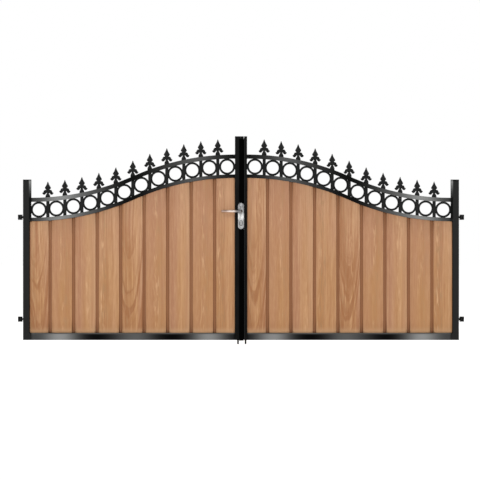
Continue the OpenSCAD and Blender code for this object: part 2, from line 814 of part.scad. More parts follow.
// A round bar lever: a neck out of its plate, a quarter bend, and a grip along -x
module lever(face_y, dir) {
    bend_r = lever_d / 2 + 2.5;
    grip_y = face_y + dir * lever_out;
    turn_y = grip_y - dir * bend_r;
    seat_y = face_y - dir * 2;
    tip = 2;
    difference() {
        union() {
            rod_along_y(0, lever_z, lever_d / 2, min(seat_y, turn_y), max(seat_y, turn_y));
            translate([-bend_r, turn_y, lever_z]) rotate([0, 0, dir < 0 ? -90 : 0])
                rotate_extrude(angle = 90) translate([bend_r, 0]) circle(d = lever_d);
            rod_along_x(grip_y, lever_z, lever_d / 2, tip - lever_l, -bend_r);
            translate([-lever_l, grip_y, lever_z]) rotate([0, 90, 0])
                cylinder(r1 = lever_d / 2 - tip, r2 = lever_d / 2, h = tip);
        }
        socket_w = spindle_w + 2 * hole_fit;
        translate([-socket_w / 2, min(seat_y - dir, turn_y), lever_z - socket_w / 2])
            cube([socket_w, abs(turn_y - seat_y) + 1, socket_w]);
    }
}

module front_lever() {
    color("#d4d5d6") lever(front_plate_y, -1);
}

module rear_lever() {
    color("#d4d5d6") lever(rear_plate_y, 1);
}

module spindle() {
    bend_r = lever_d / 2 + 2.5;
    y0 = front_plate_y - lever_out + bend_r + hole_fit;
    y1 = rear_plate_y + lever_out - bend_r - hole_fit;
    color("#8f9193") translate([-spindle_w / 2, y0, lever_z - spindle_w / 2])
        cube([spindle_w, y1 - y0, spindle_w]);
}

module lock_follower() {
    half_w = case_w / 2 - case_wall - run_fit;
    hole = spindle_w + 2 * hole_fit;
    color("#a08f5a") translate([0, 0, lever_z]) along_y(-half_w, half_w) difference() {
        union() {
            circle(r = follower_r);
            translate([-arm_w / 2, 0]) square([arm_w, follower_arm]);
        }
        square(hole, center = true);
    }
}

module lock_case() {
    inner = [case_depth - 2 * case_wall, case_w - 2 * case_wall, case_z1 - case_z0 - 2 * case_wall];
    color("#8b8d90") difference() {
        translate([case_x0, -case_w / 2, case_z0]) cube([case_depth, case_w, case_z1 - case_z0]);
        translate([case_x0 + case_wall, -case_w / 2 + case_wall, case_z0 + case_wall]) cube(inner);
        rod_along_y(0, lever_z, follower_r - 1.5, -case_w, case_w);
        translate([0, 0, cylinder_z]) along_y(-case_w, case_w) euro_shape(run_fit);
        bolt_slot(latch_z, latch_h, lock_face_x - case_wall - cut, lock_face_x + cut);
        bolt_slot(deadbolt_z, deadbolt_h, lock_face_x - case_wall - cut, lock_face_x + cut);
        rod_along_x(0, cylinder_z + euro_leg_z, cylinder_screw_d / 2 + hole_fit, 0,
            lock_face_x + cut);
    }
}

// A countersunk screw along x whose flat head lies at head_x
module countersunk(z, d, head_x, dir, l) {
    translate([head_x, 0, z]) rotate([0, dir * 90, 0]) {
        cylinder(r1 = d / 2 + forend_t, r2 = d / 2, h = forend_t);
        cylinder(r = d / 2, h = l);
    }
}

module countersink(z, d, head_x, dir) {
    translate([head_x, 0, z]) rotate([0, dir * 90, 0]) {
        cylinder(r1 = d / 2 + forend_t + hole_fit, r2 = d / 2 + hole_fit, h = forend_t);
        translate([0, 0, -cut]) cylinder(r = d / 2 + hole_fit, h = forend_t + 2 * cut);
    }
}

module lock_forend() {
    r = forend_w / 2;
    color("#b9babb") difference() {
        translate([lock_face_x, 0, 0]) rotate([90, 0, 90]) linear_extrude(height = forend_t) {
            translate([-r, forend_z0 + r]) square([forend_w, forend_z1 - forend_z0 - forend_w]);
            translate([0, forend_z0 + r]) circle(r = r);
            translate([0, forend_z1 - r]) circle(r = r);
        }
        bolt_slot(latch_z, latch_h, lock_face_x - cut, forend_x1 + cut);
        bolt_slot(deadbolt_z, deadbolt_h, lock_face_x - cut, forend_x1 + cut);
        for (z = forend_screw_zs) countersink(z, forend_screw_d, forend_x1, -1);
        countersink(cylinder_z + euro_leg_z, cylinder_screw_d, forend_x1, -1);
    }
}

module forend_screws() {
    color("#b5b6b7") for (z = forend_screw_zs) countersunk(z, forend_screw_d, forend_x1, -1, 12);
}

module cylinder_screw() {
    color("#b5b6b7") countersunk(cylinder_z + euro_leg_z, cylinder_screw_d, forend_x1, -1,
        forend_x1 - cylinder_screw_x0);
}

module latch_bolt() {
    nose_x = forend_x1 + 0.5;
    slant = 4;
    foot_x1 = -arm_w / 2 - run_fit;
    foot_z0 = lever_z + follower_r + 0.8;
    color("#b58f4a") {
        translate([0, 0, latch_z0]) linear_extrude(height = latch_h) polygon([
            [latch_back_x, -bolt_t / 2], [nose_x - slant, -bolt_t / 2], [nose_x, bolt_t / 2 - 3],
            [nose_x, bolt_t / 2], [latch_back_x, bolt_t / 2]
        ]);
        translate([foot_x1 - 4, -bolt_t / 4, foot_z0]) cube([4, bolt_t / 2, latch_z0 + 2 - foot_z0]);
        rod_along_x(0, latch_z, latch_tail_r, latch_back_x - latch_tail_l, latch_back_x + 1);
    }
}

module deadbolt() {
    color("#b9babb") translate([deadbolt_back_x, -bolt_t / 2, deadbolt_z - deadbolt_h / 2])
        cube([forend_x1 - 0.8 - deadbolt_back_x, bolt_t, deadbolt_h]);
}

// The latch spring is one helix swept as a polyhedron of 6 sides
spring_wire_r = 0.6;
spring_r = latch_tail_r + 1.2;
spring_turns = 7;
spring_steps = 12;
spring_sides = 6;
spring_x0 = case_x0 + case_wall + spring_wire_r + 0.1;
spring_x1 = latch_back_x - spring_wire_r - 0.1;
function spring_point(k, j) =
    let (
        a = 360 * k / spring_steps,
        b = 360 * j / spring_sides,
        r = spring_r + spring_wire_r * cos(b),
        x = spring_x0 + (spring_x1 - spring_x0) * k / (spring_turns * spring_steps)
    )
    [x + spring_wire_r * sin(b), r * cos(a), latch_z + r * sin(a)];

module latch_spring() {
    rings = spring_turns * spring_steps;
    points = [for (k = [0 : rings], j = [0 : spring_sides - 1]) spring_point(k, j)];
    walls = [
        for (k = [0 : rings - 1], j = [0 : spring_sides - 1])
            let (
                a = k * spring_sides + j,
                b = k * spring_sides + (j + 1) % spring_sides
            )
            each [[a, b, b + spring_sides], [a, b + spring_sides, a + spring_sides]]
    ];
    first = [for (j = [1 : spring_sides - 2]) [0, j + 1, j]];
    end0 = rings * spring_sides;
    last = [for (j = [1 : spring_sides - 2]) [end0, end0 + j, end0 + j + 1]];
    color("#a9abad") polyhedron(points = points, faces = concat(walls, first, last));
}

module cylinder_body() {
    bridge_z = cylinder_z - cam_r - 0.8;
    color("#bfa15e") difference() {
        translate([0, 0, cylinder_z]) along_y(cylinder_y0, cylinder_y1) euro_shape(0);
        rod_along_y(0, cylinder_z, plug_r + plug_fit, cylinder_y0 - cut, cylinder_y1 + cut);
        translate([-euro_r - cut, -cam_w / 2 - run_fit, bridge_z])
            cube([2 * (euro_r + cut), cam_w + 2 * run_fit, cam_r + euro_r + 2 * cut]);
        rod_along_x(0, cylinder_z + euro_leg_z, cylinder_screw_d / 2 + hole_fit,
            cylinder_screw_x0 - cut, euro_leg_w);
    }
}

module cylinder_plug() {
    key_w = 2.4;
    key_h = 8.4;
    key_depth = 8;
    color("#d0b571") difference() {
        union() {
            rod_along_y(0, cylinder_z, plug_r, cylinder_y0 + 0.5, cylinder_y1 - 0.5);
            translate([0, 0, cylinder_z]) along_y(-cam_w / 2, cam_w / 2) {
                circle(r = euro_r - 0.2);
                translate([-2.5, -cam_r + 0.5]) square([5, cam_r]);
            }
        }
        for (y = [cylinder_y0, cylinder_y1 - key_depth])
            translate([-key_w / 2, y, cylinder_z - key_h / 2]) cube([key_w, key_depth, key_h]);
    }
}

module keep_plate() {
    w = bolt_t + 6;
    color("#b9babb") difference() {
        translate([keep_plate_x0, -w / 2, keep_z0]) cube([keep_t, w, keep_z1 - keep_z0]);
        keep_cuts(keep_plate_x0 - cut, keep_plate_x0 + keep_t + cut);
    }
}

module keep_screws() {
    head_t = 0.6;
    color("#b5b6b7") for (z = keep_screw_zs) {
        rod_along_x(0, z, forend_screw_d / 2, keep_face_x - head_t, keep_plate_x0 + keep_t + 3);
        rod_along_x(0, z, forend_screw_d, keep_face_x - head_t, keep_face_x);
    }
}

// Drop bolts

module bolt_guides(rod_x) {
    color("#1d1e1f") for (z = guide_zs) difference() {
        union() {
            translate([rod_x - guide_w / 2, half_depth, z]) cube([guide_w, guide_w / 2, guide_h]);
            translate([rod_x, rod_y, z]) cylinder(d = guide_w, h = guide_h);
        }
        translate([rod_x, rod_y, z - cut])
            cylinder(r = rod_d / 2 + pin_fit, h = guide_h + 2 * cut);
    }
}

module drop_bolt(rod_x, dir) {
    point = 2;
    color("#2f3133") {
        translate([rod_x, rod_y, 0]) {
            cylinder(r1 = rod_tip_d / 2 - point, r2 = rod_tip_d / 2, h = point);
            translate([0, 0, point]) cylinder(d = rod_tip_d, h = rod_tip_l - point);
            translate([0, 0, rod_tip_l]) cylinder(d = rod_d, h = rod_h - rod_tip_l);
            translate([0, 0, collar_z]) cylinder(d = collar_d, h = collar_h);
        }
        translate([rod_x + dir * rod_bend_r, rod_y, rod_h]) rotate([90, 0, 0])
            rotate([0, 0, dir < 0 ? 0 : 90]) rotate_extrude(angle = 90)
                translate([rod_bend_r, 0]) circle(d = rod_d);
        far_x = rod_x + dir * rod_handle_l;
        near_x = rod_x + dir * rod_bend_r;
        rod_along_x(rod_y, rod_h + rod_bend_r, rod_d / 2, min(far_x, near_x), max(far_x, near_x));
    }
}

hinge_brackets(LEFT);  // left_hinge_brackets
hinge_brackets(RIGHT);  // right_hinge_brackets
hinge_pins();
hinge_stile(LEFT);  // left_hinge_stile
lock_stile();  // left_lock_stile
bottom_rail(LEFT);  // left_bottom_rail
mid_rail(LEFT);  // left_mid_rail
top_rail(LEFT);  // left_top_rail
cross_rails(LEFT);  // left_cross_rails
board_strap(LEFT);  // left_board_strap
bars(LEFT);  // left_bars
rings(LEFT);  // left_rings
finials(LEFT);  // left_finials
boards(LEFT);  // left_boards
board_screws(LEFT);  // left_board_screws
stile_caps(LEFT);  // left_stile_caps
eye_bolts(LEFT);  // left_eye_bolts
hinge_sleeves(LEFT);  // left_hinge_sleeves
bolt_guides(left_rod_x);  // left_bolt_guides
cover_strip();
lock_case();
lock_forend();
forend_screws();
front_handle_plate();
rear_handle_plate();
handle_plate_bolts();
cylinder_body();
cylinder_screw();
front_lever();
rear_lever();
spindle();
lock_follower();
latch_bolt();
latch_spring();
deadbolt();
cylinder_plug();
drop_bolt(left_rod_x, -1);  // left_drop_bolt
hinge_stile(RIGHT);  // right_hinge_stile
meeting_stile();  // right_meeting_stile
bottom_rail(RIGHT);  // right_bottom_rail
mid_rail(RIGHT);  // right_mid_rail
top_rail(RIGHT);  // right_top_rail
cross_rails(RIGHT);  // right_cross_rails
board_strap(RIGHT);  // right_board_strap
bars(RIGHT);  // right_bars
rings(RIGHT);  // right_rings
finials(RIGHT);  // right_finials
boards(RIGHT);  // right_boards
board_screws(RIGHT);  // right_board_screws
stile_caps(RIGHT);  // right_stile_caps
eye_bolts(RIGHT);  // right_eye_bolts
hinge_sleeves(RIGHT);  // right_hinge_sleeves
bolt_guides(right_rod_x);  // right_bolt_guides
keep_plate();
keep_screws();
gap_seal();
drop_bolt(right_rod_x, 1);  // right_drop_bolt
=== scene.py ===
"""Looks of a double swan-neck driveway gate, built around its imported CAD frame.

Lengths are in metres, in the CAD row frame: x to the right, y away from the viewer, z up.
"""
import sys

import json
import logging
import math
from dataclasses import asdict, dataclass, field
from enum import Enum
from typing import Any

import bmesh
import bpy
import numpy as np
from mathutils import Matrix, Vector
from numpy.typing import NDArray

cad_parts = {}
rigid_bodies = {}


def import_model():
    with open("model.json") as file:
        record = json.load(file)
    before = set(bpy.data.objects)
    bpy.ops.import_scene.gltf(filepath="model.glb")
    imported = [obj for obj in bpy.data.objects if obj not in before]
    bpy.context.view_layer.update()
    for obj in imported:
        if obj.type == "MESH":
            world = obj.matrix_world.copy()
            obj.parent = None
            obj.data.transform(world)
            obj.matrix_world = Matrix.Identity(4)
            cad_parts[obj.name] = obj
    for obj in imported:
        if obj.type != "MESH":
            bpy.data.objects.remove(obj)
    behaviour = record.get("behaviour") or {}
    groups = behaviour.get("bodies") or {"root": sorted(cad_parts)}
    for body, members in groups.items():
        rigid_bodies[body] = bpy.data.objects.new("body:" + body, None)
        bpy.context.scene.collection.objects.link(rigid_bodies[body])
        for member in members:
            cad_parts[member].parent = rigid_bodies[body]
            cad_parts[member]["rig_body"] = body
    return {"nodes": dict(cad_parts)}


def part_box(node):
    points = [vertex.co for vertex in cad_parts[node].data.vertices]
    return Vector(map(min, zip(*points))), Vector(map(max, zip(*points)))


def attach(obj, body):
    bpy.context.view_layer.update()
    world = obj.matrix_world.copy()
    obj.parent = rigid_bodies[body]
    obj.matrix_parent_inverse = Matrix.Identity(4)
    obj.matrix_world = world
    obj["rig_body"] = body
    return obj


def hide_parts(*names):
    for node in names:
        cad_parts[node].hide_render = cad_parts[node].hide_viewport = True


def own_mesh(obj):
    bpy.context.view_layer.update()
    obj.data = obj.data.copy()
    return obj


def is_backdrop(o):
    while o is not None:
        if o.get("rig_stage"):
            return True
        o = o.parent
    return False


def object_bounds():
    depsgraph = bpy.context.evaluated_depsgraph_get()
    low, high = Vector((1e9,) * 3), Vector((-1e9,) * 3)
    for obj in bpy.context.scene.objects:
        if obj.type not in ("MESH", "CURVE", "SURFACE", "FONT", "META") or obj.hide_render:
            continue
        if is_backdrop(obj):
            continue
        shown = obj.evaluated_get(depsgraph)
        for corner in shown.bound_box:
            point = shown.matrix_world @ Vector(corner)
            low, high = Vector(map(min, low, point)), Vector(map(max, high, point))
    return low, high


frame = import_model()

Array = NDArray[np.float64]
Rgb = tuple[float, float, float]
Place = tuple[float, float, float]
Material = bpy.types.Material
Paints = dict[str, Material]

LOG = logging.getLogger("gate")
MM = 0.001
X_AXIS, Y_AXIS, Z_AXIS = np.eye(3)
QUARTER_TURN = math.pi / 2
FLAT_ANGLE = math.radians(0.3)
SHARP_ANGLE = math.radians(38)
LEVER_HEIGHT = 0.911
PLATE_FRONT, PLATE_REAR = -0.036, 0.033


class Side(Enum):
    """The two leaves, by the sign of x where their hinges are."""

    LEFT = -1
    RIGHT = 1

    @property
    def body(self) -> str:
        """Name of the CAD body that this leaf is."""
        return self.named("leaf")

    def named(self, name: str) -> str:
        """Name of this leaf's own node or piece, such as left_rings."""
        return f"{self.name.lower()}_{name}"

    def place(self, points: Array) -> Array:
        """Turns points written for the left leaf into this leaf's: the right one mirrors x."""
        return points * np.array([-float(self.value), 1.0, 1.0])


def both(name: str) -> tuple[str, ...]:
    """A node's name on either leaf."""
    return tuple(side.named(name) for side in Side)


def box_of(node: str) -> tuple[Array, Array]:
    """Lowest and highest corner of a CAD node."""
    low, high = (np.array(point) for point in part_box(node))
    return low, high


# Surfaces


def through(knots: Array, count: int) -> Array:
    """A smooth line through its knots, evenly spaced in knot number.

    Each span is a cubic whose slope at a knot is half the step between the knot's neighbours.

    Args:
        knots: points of any dimension, one a row.
        count: number of points.

    Returns:
        The points.
    """
    where = np.linspace(0.0, len(knots) - 1.0, count)
    start = np.clip(where.astype(int), 0, len(knots) - 2)
    part = (where - start)[:, None]
    slope = np.gradient(knots, axis=0)
    square, cube = part**2, part**3
    return (
        (2 * cube - 3 * square + 1) * knots[start] + (cube - 2 * square + part) * slope[start]
        + (3 * square - 2 * cube) * knots[start + 1] + (cube - square) * slope[start + 1]
    )


def spokes(count: int) -> Array:
    """Unit vectors in even steps round a full turn about the y axis."""
    angle = np.linspace(0, 2 * math.pi, count, endpoint=False)
    return np.stack([np.cos(angle), np.zeros_like(angle), np.sin(angle)], -1)


def circle(radius: float, count: int) -> Array:
    """Outline of a circle: the radius turned through a full turn in even steps."""
    return spokes(count)[:, ::2] * radius


def rounded_rectangle(width: float, height: float, radius: float, steps: int = 3) -> Array:
    """Outline of a rectangle with round corners.

    Each corner is its centre plus the radius turned through a quarter of a turn.

    Args:
        width: full size along the first axis.
        height: full size along the second axis.
        radius: radius of the corners.
        steps: straight pieces in each corner.

    Returns:
        Points of the closed outline, going round to the left.
    """
    angle = np.arange(4)[:, None] * QUARTER_TURN + np.linspace(0, QUARTER_TURN, steps + 1)
    signs = np.array([[1, 1], [-1, 1], [-1, -1], [1, -1]], float)
    centre = signs * [width / 2 - radius, height / 2 - radius]
    corner = np.stack([np.cos(angle), np.sin(angle)], -1) * radius
    return (centre[:, None, :] + corner).reshape(-1, 2)


def divided(outline: Array, parts: int) -> Array:
    """Cuts each straight piece of a closed outline into equal parts.

    A new point is a share of the way along the line from one point to the next.

    Args:
        outline: points of the closed outline.
        parts: parts of each straight piece.

    Returns:
        The points, with the new ones between them.
    """
    ahead = np.roll(outline, -1, axis=0)
    share = np.arange(parts)[None, :, None] / parts
    return (outline[:, None] * (1 - share) + ahead[:, None] * share).reshape(-1, 2)


def sweep(path: Array, side: Array, up: Array, outline: Array) -> Array:
    """Carries a section along a path.

    A point is the path's point, plus side times the section's first number, plus up times its
    second.

    Args:
        path: points of the path, in the last two axes.
        side: unit vector for the section's first axis, or one for each station.
        up: unit vector for its second axis, or one for each station.
        outline: the section, or one for each station.

    Returns:
        Rings of points, with the section's own axis before the last.
    """
    first, second = outline[..., 0, None], outline[..., 1, None]
    return path[..., None, :] + side[..., None, :] * first + up[..., None, :] * second


def box_bar(
    low: Array, high: Array, axis: int, corner: float, parts: int = 1, stations: int = 2,
    steps: int = 3,
) -> Array:
    """A bar that fills a box: a rounded rectangle carried along one axis.

    Args:
        low: lowest corner of the box.
        high: highest corner.
        axis: 0 for a bar along x, 2 for an upright one.
        corner: radius of the section's corners.
        parts: parts that each straight piece of the section is cut into.
        stations: number of rings along the bar.
        steps: straight pieces in each corner.

    Returns:
        The bar's rings.
    """
    first, second = [number for number in range(3) if number != axis]
    size, unit = high - low, np.eye(3)
    share = np.linspace(0, 1, stations)[:, None]
    path = np.where(unit[axis] > 0, low * (1 - share) + high * share, (low + high) / 2)
    outline = divided(rounded_rectangle(size[first], size[second], corner, steps), parts)
    return sweep(path, unit[first], unit[second], outline)[None]


def directions(path: Array) -> Array:
    """Unit vectors along a path, from the steps between the neighbours of each point."""
    step = np.gradient(path, axis=0)
    return step / np.linalg.norm(step, axis=1, keepdims=True)


@dataclass
class Shell:
    """Closed surfaces that are gathered into one mesh, with numbers marked on their points."""

    points: list[Array] = field(default_factory=list)
    faces: list[list[int]] = field(default_factory=list)
    marks: dict[str, list[Array]] = field(default_factory=dict)
    count: int = 0

    def add_tubes(self, rings: Array, looped: bool = False, **marks: Array) -> "Shell":
        """Adds tubes, each a grid of points whose section closes on itself.

        Args:
            rings: points of shape tubes, stations, section points, 3.
            looped: whether a tube's last station joins its first. If not, both ends are capped.
            **marks: numbers that fit that shape without its last axis.

        Returns:
            The shell itself.
        """
        shape = rings.shape[:3]
        index = self.count + np.arange(math.prod(shape)).reshape(shape)
        after = np.roll(index, -1, axis=2)
        if looped:
            corners = [index, after, np.roll(after, -1, axis=1), np.roll(index, -1, axis=1)]
        else:
            corners = [index[:, :-1], after[:, :-1], after[:, 1:], index[:, 1:]]
            self.faces += index[:, 0, ::-1].tolist() + index[:, -1].tolist()
        self.faces += np.stack(corners, -1).reshape(-1, 4).tolist()
        self.points.append(rings.reshape(-1, 3))
        for name, values in marks.items():
            self.marks.setdefault(name, []).append(np.broadcast_to(values, shape).reshape(-1))
        self.count += index.size
        return self

    def mesh(self, name: str) -> bpy.types.Mesh:
        """Makes the Blender mesh, with doubled points merged and every face outwards.

        Args:
            name: the mesh's name.

        Returns:
            The mesh.
        """
        made = bpy.data.meshes.new(name)
        made.from_pydata(np.concatenate(self.points).tolist(), [], self.faces)
        for mark, values in self.marks.items():
            column = made.attributes.new(mark, "FLOAT", "POINT")
            column.data.foreach_set("value", np.concatenate(values).astype(np.float32))
        work = bmesh.new()
        work.from_mesh(made)
        bmesh.ops.remove_doubles(work, verts=work.verts, dist=0.002 * MM)
        bmesh.ops.recalc_face_normals(work, faces=work.faces)
        work.to_mesh(made)
        work.free()
        made.shade_smooth()
        return made


# Materials


class Flow:
    """A number that flows through a material. Python's operators on it add Math nodes."""

    def __init__(self, bench: "Bench", socket: bpy.types.NodeSocket) -> None:
        """Wraps a socket of the material that the bench is making."""
        self.bench, self.socket = bench, socket

    def _math(self, operation: str, first: Any, second: Any = 0.0) -> "Flow":
        """Adds one Math node and returns its result."""
        node = self.bench.add("ShaderNodeMath", {"operation": operation}, {0: first, 1: second})
        return Flow(self.bench, node.outputs[0])

    def __add__(self, other: Any) -> "Flow":
        """Sum."""
        return self._math("ADD", self, other)

    __radd__ = __add__

    def __sub__(self, other: Any) -> "Flow":
        """Difference."""
        return self._math("SUBTRACT", self, other)

    def __rsub__(self, other: Any) -> "Flow":
        """Difference, from a plain number."""
        return self._math("SUBTRACT", other, self)

    def __mul__(self, other: Any) -> "Flow":
        """Product."""
        return self._math("MULTIPLY", self, other)

    __rmul__ = __mul__

    def least(self, other: Any) -> "Flow":
        """The smaller of two numbers."""
        return self._math("MINIMUM", self, other)

    def most(self, other: Any) -> "Flow":
        """The larger of two numbers."""
        return self._math("MAXIMUM", self, other)

    def size(self) -> "Flow":
        """The number without its sign."""
        return self._math("ABSOLUTE", self)

    def ramp(self, low: float, high: float) -> "Flow":
        """Rises smoothly from 0 to 1.

        Args:
            low: value up to which it is 0.
            high: value from which it is 1.

        Returns:
            The smooth step of the number.
        """
        values = {"Value": self, "From Min": low, "From Max": high}
        node = self.bench.add("ShaderNodeMapRange", {"interpolation_type": "SMOOTHSTEP"}, values)
        return Flow(self.bench, node.outputs[0])

    def fall(self, low: float, high: float) -> "Flow":
        """Falls smoothly from 1 at low to 0 at high."""
        return 1.0 - self.ramp(low, high)


class Bench:
    """Makes one material, node by node, around a Principled shader."""

    def __init__(self, name: str) -> None:
        """Starts an empty material.

        Args:
            name: its name.
        """
        self.material = bpy.data.materials.new(name)
        self.material.use_nodes = True
        self.tree = self.material.node_tree
        self.shader = self.tree.nodes["Principled BSDF"]
        self.place = self.add("ShaderNodeTexCoord", {}, {}).outputs["Object"]

    def feed(self, socket: bpy.types.NodeSocket, value: Any) -> None:
        """Links or sets what a socket takes.

        Args:
            socket: the socket.
            value: a flow or another socket, which is linked, or a plain value.
        """
        if isinstance(value, Flow):
            value = value.socket
        if isinstance(value, bpy.types.NodeSocket):
            self.tree.links.new(value, socket)
        elif isinstance(value, tuple) and len(value) == 3 and socket.type == "RGBA":
            socket.default_value = (*value, 1.0)
        else:
            socket.default_value = value

    def add(self, kind: str, settings: dict[str, Any], values: dict[Any, Any]) -> bpy.types.Node:
        """Adds a node.

        Args:
            kind: the node's type name.
            settings: its properties, set first.
            values: what goes into its sockets, by name or number.

        Returns:
            The node.
        """
        node = self.tree.nodes.new(kind)
        for name, value in settings.items():
            setattr(node, name, value)
        for name, value in values.items():
            self.feed(node.inputs[name], value)
        return node

    def mark(self, name: str) -> Flow:
        """The number that is marked on the piece's points under a name."""
        return Flow(self, self.add("ShaderNodeAttribute", {"attribute_name": name}, {}).outputs["Fac"])

    def axes(self) -> tuple[Flow, Flow, Flow]:
        """The place on the piece as three numbers, in metres."""
        node = self.add("ShaderNodeSeparateXYZ", {}, {0: self.place})
        return Flow(self, node.outputs[0]), Flow(self, node.outputs[1]), Flow(self, node.outputs[2])

    def spot(self, x: Any, y: Any, z: Any) -> bpy.types.NodeSocket:
        """Three numbers as one vector."""
        return self.add("ShaderNodeCombineXYZ", {}, {0: x, 1: y, 2: z}).outputs[0]

    def noise(self, scale: float, detail: float = 3.0, rough: float = 0.5, where: Any = None) -> Flow:
        """Soft noise from 0 to 1, over the piece or over another vector."""
        values = {"Vector": where or self.place, "Scale": scale, "Detail": detail, "Roughness": rough}
        return Flow(self, self.add("ShaderNodeTexNoise", {}, values).outputs[0])

    def blend(self, factor: Any, first: Any, second: Any) -> bpy.types.NodeSocket:
        """Mixes two colours."""
        settings = {"data_type": "RGBA", "clamp_factor": True}
        return self.add("ShaderNodeMix", settings, {0: factor, 6: first, 7: second}).outputs[2]

    def bump(self, height: Flow, distance: float) -> None:
        """Raises the surface's shading by a height from 0 to 1 times a distance."""
        node = self.add("ShaderNodeBump", {}, {"Strength": 1.0, "Distance": distance, "Height": height})
        self.feed(self.shader.inputs["Normal"], node.outputs[0])

    def finish(self, **values: Any) -> Material:
        """Feeds the shader's sockets.

        Args:
            **values: what goes in, by the socket's name with low lines for its spaces.

        Returns:
            The material.
        """
        for name, value in values.items():
            self.feed(self.shader.inputs[name.replace("_", " ")], value)
        return self.material


@dataclass(frozen=True)
class PowderCoat:
    """Black powder coat: fine orange peel, faint clouds, and pale specks of dust.

    It goes from its colour to its pale colour in clouds, or by the mark "gleam", a painted
    reflection, where gleaming is set. An edge between two places along x may get a painted highlight.
    """

    name: str
    colour: Rgb
    pale: Rgb
    roughness: float = 0.42
    gloss: float = 0.3
    dust: float = 0.16
    gleaming: bool = False
    worn: tuple[float, float] = (0.0, 0.0)
    worn_pale: float = 2.2
    peel: float = 0.05 * MM

    def make(self) -> Material:
        """Builds the material: clouds or the gleam, a painted reflection, set its shade, and fine
        noise its peel.

        Returns:
            The material.
        """
        bench = Bench(self.name)
        cloud = bench.noise(3.1, 4.0, 0.55)
        grit = bench.noise(620.0, 2.0, 0.6)
        specks = bench.noise(95.0, 5.0, 0.7).ramp(0.66, 0.76)
        share = cloud.ramp(0.35, 0.7) * 0.55
        # Painted reflection: where gleaming is set, the gleam mark decides how much of the pale colour
        # stands in for reflected light.
        if self.gleaming:
            share = bench.mark("gleam") * (0.86 + 0.28 * cloud)
        share = (share + self.dust * (specks + 0.75 * (grit - 0.5))).least(1.0).most(0.0)
        # Painted highlight: between the two places of the edge along x the coat is painted pale, as an
        # edge catching light.
        start, end = self.worn
        if end > start:
            x = bench.axes()[0]
            share = share + self.worn_pale * x.ramp(start - MM, start) * x.fall(end - MM, end)
        bench.bump(bench.noise(240.0, 2.0) * 0.7 + 0.3 * grit, self.peel)
        return bench.finish(
            Base_Color=bench.blend(share, self.colour, self.pale),
            Roughness=self.roughness + 0.14 * (cloud - 0.5) + 0.08 * specks,
            Specular_IOR_Level=self.gloss,
        )


@dataclass(frozen=True)
class Grain:
    """How one board shows its grain; places are shares of its width, from the left."""

    light: float
    slope: float
    fade: float
    contrast: float
    rosy_left: float
    rosy_right: float
    fleck_at: float
    flecks: float
    heart: float
    flames: float
    dark_at: float
    darks: float


class Cut(Enum):
    """The boards' four looks, by how they were sawn from the log."""

    FLAMED = Grain(light=-0.22, slope=1.2, fade=1.0, contrast=1.35, rosy_left=0.0,
                   rosy_right=0.9, fleck_at=0.64, flecks=0.5, heart=0.38, flames=0.9,
                   dark_at=0.22, darks=0.4)
    CALM = Grain(light=-0.05, slope=0.0, fade=0.0, contrast=0.38, rosy_left=0.4,
                 rosy_right=0.2, fleck_at=0.54, flecks=0.6, heart=0.6, flames=0.0,
                 dark_at=0.7, darks=0.4)
    SALMON = Grain(light=0.05, slope=1.1, fade=0.1, contrast=0.65, rosy_left=1.0,
                   rosy_right=0.6, fleck_at=0.66, flecks=0.7, heart=0.35, flames=0.0,
                   dark_at=0.86, darks=0.3)
    AMBER = Grain(light=0.2, slope=0.45, fade=0.4, contrast=0.8, rosy_left=0.0,
                  rosy_right=0.0, fleck_at=0.18, flecks=0.8, heart=0.3, flames=0.15,
                  dark_at=0.3, darks=0.7)


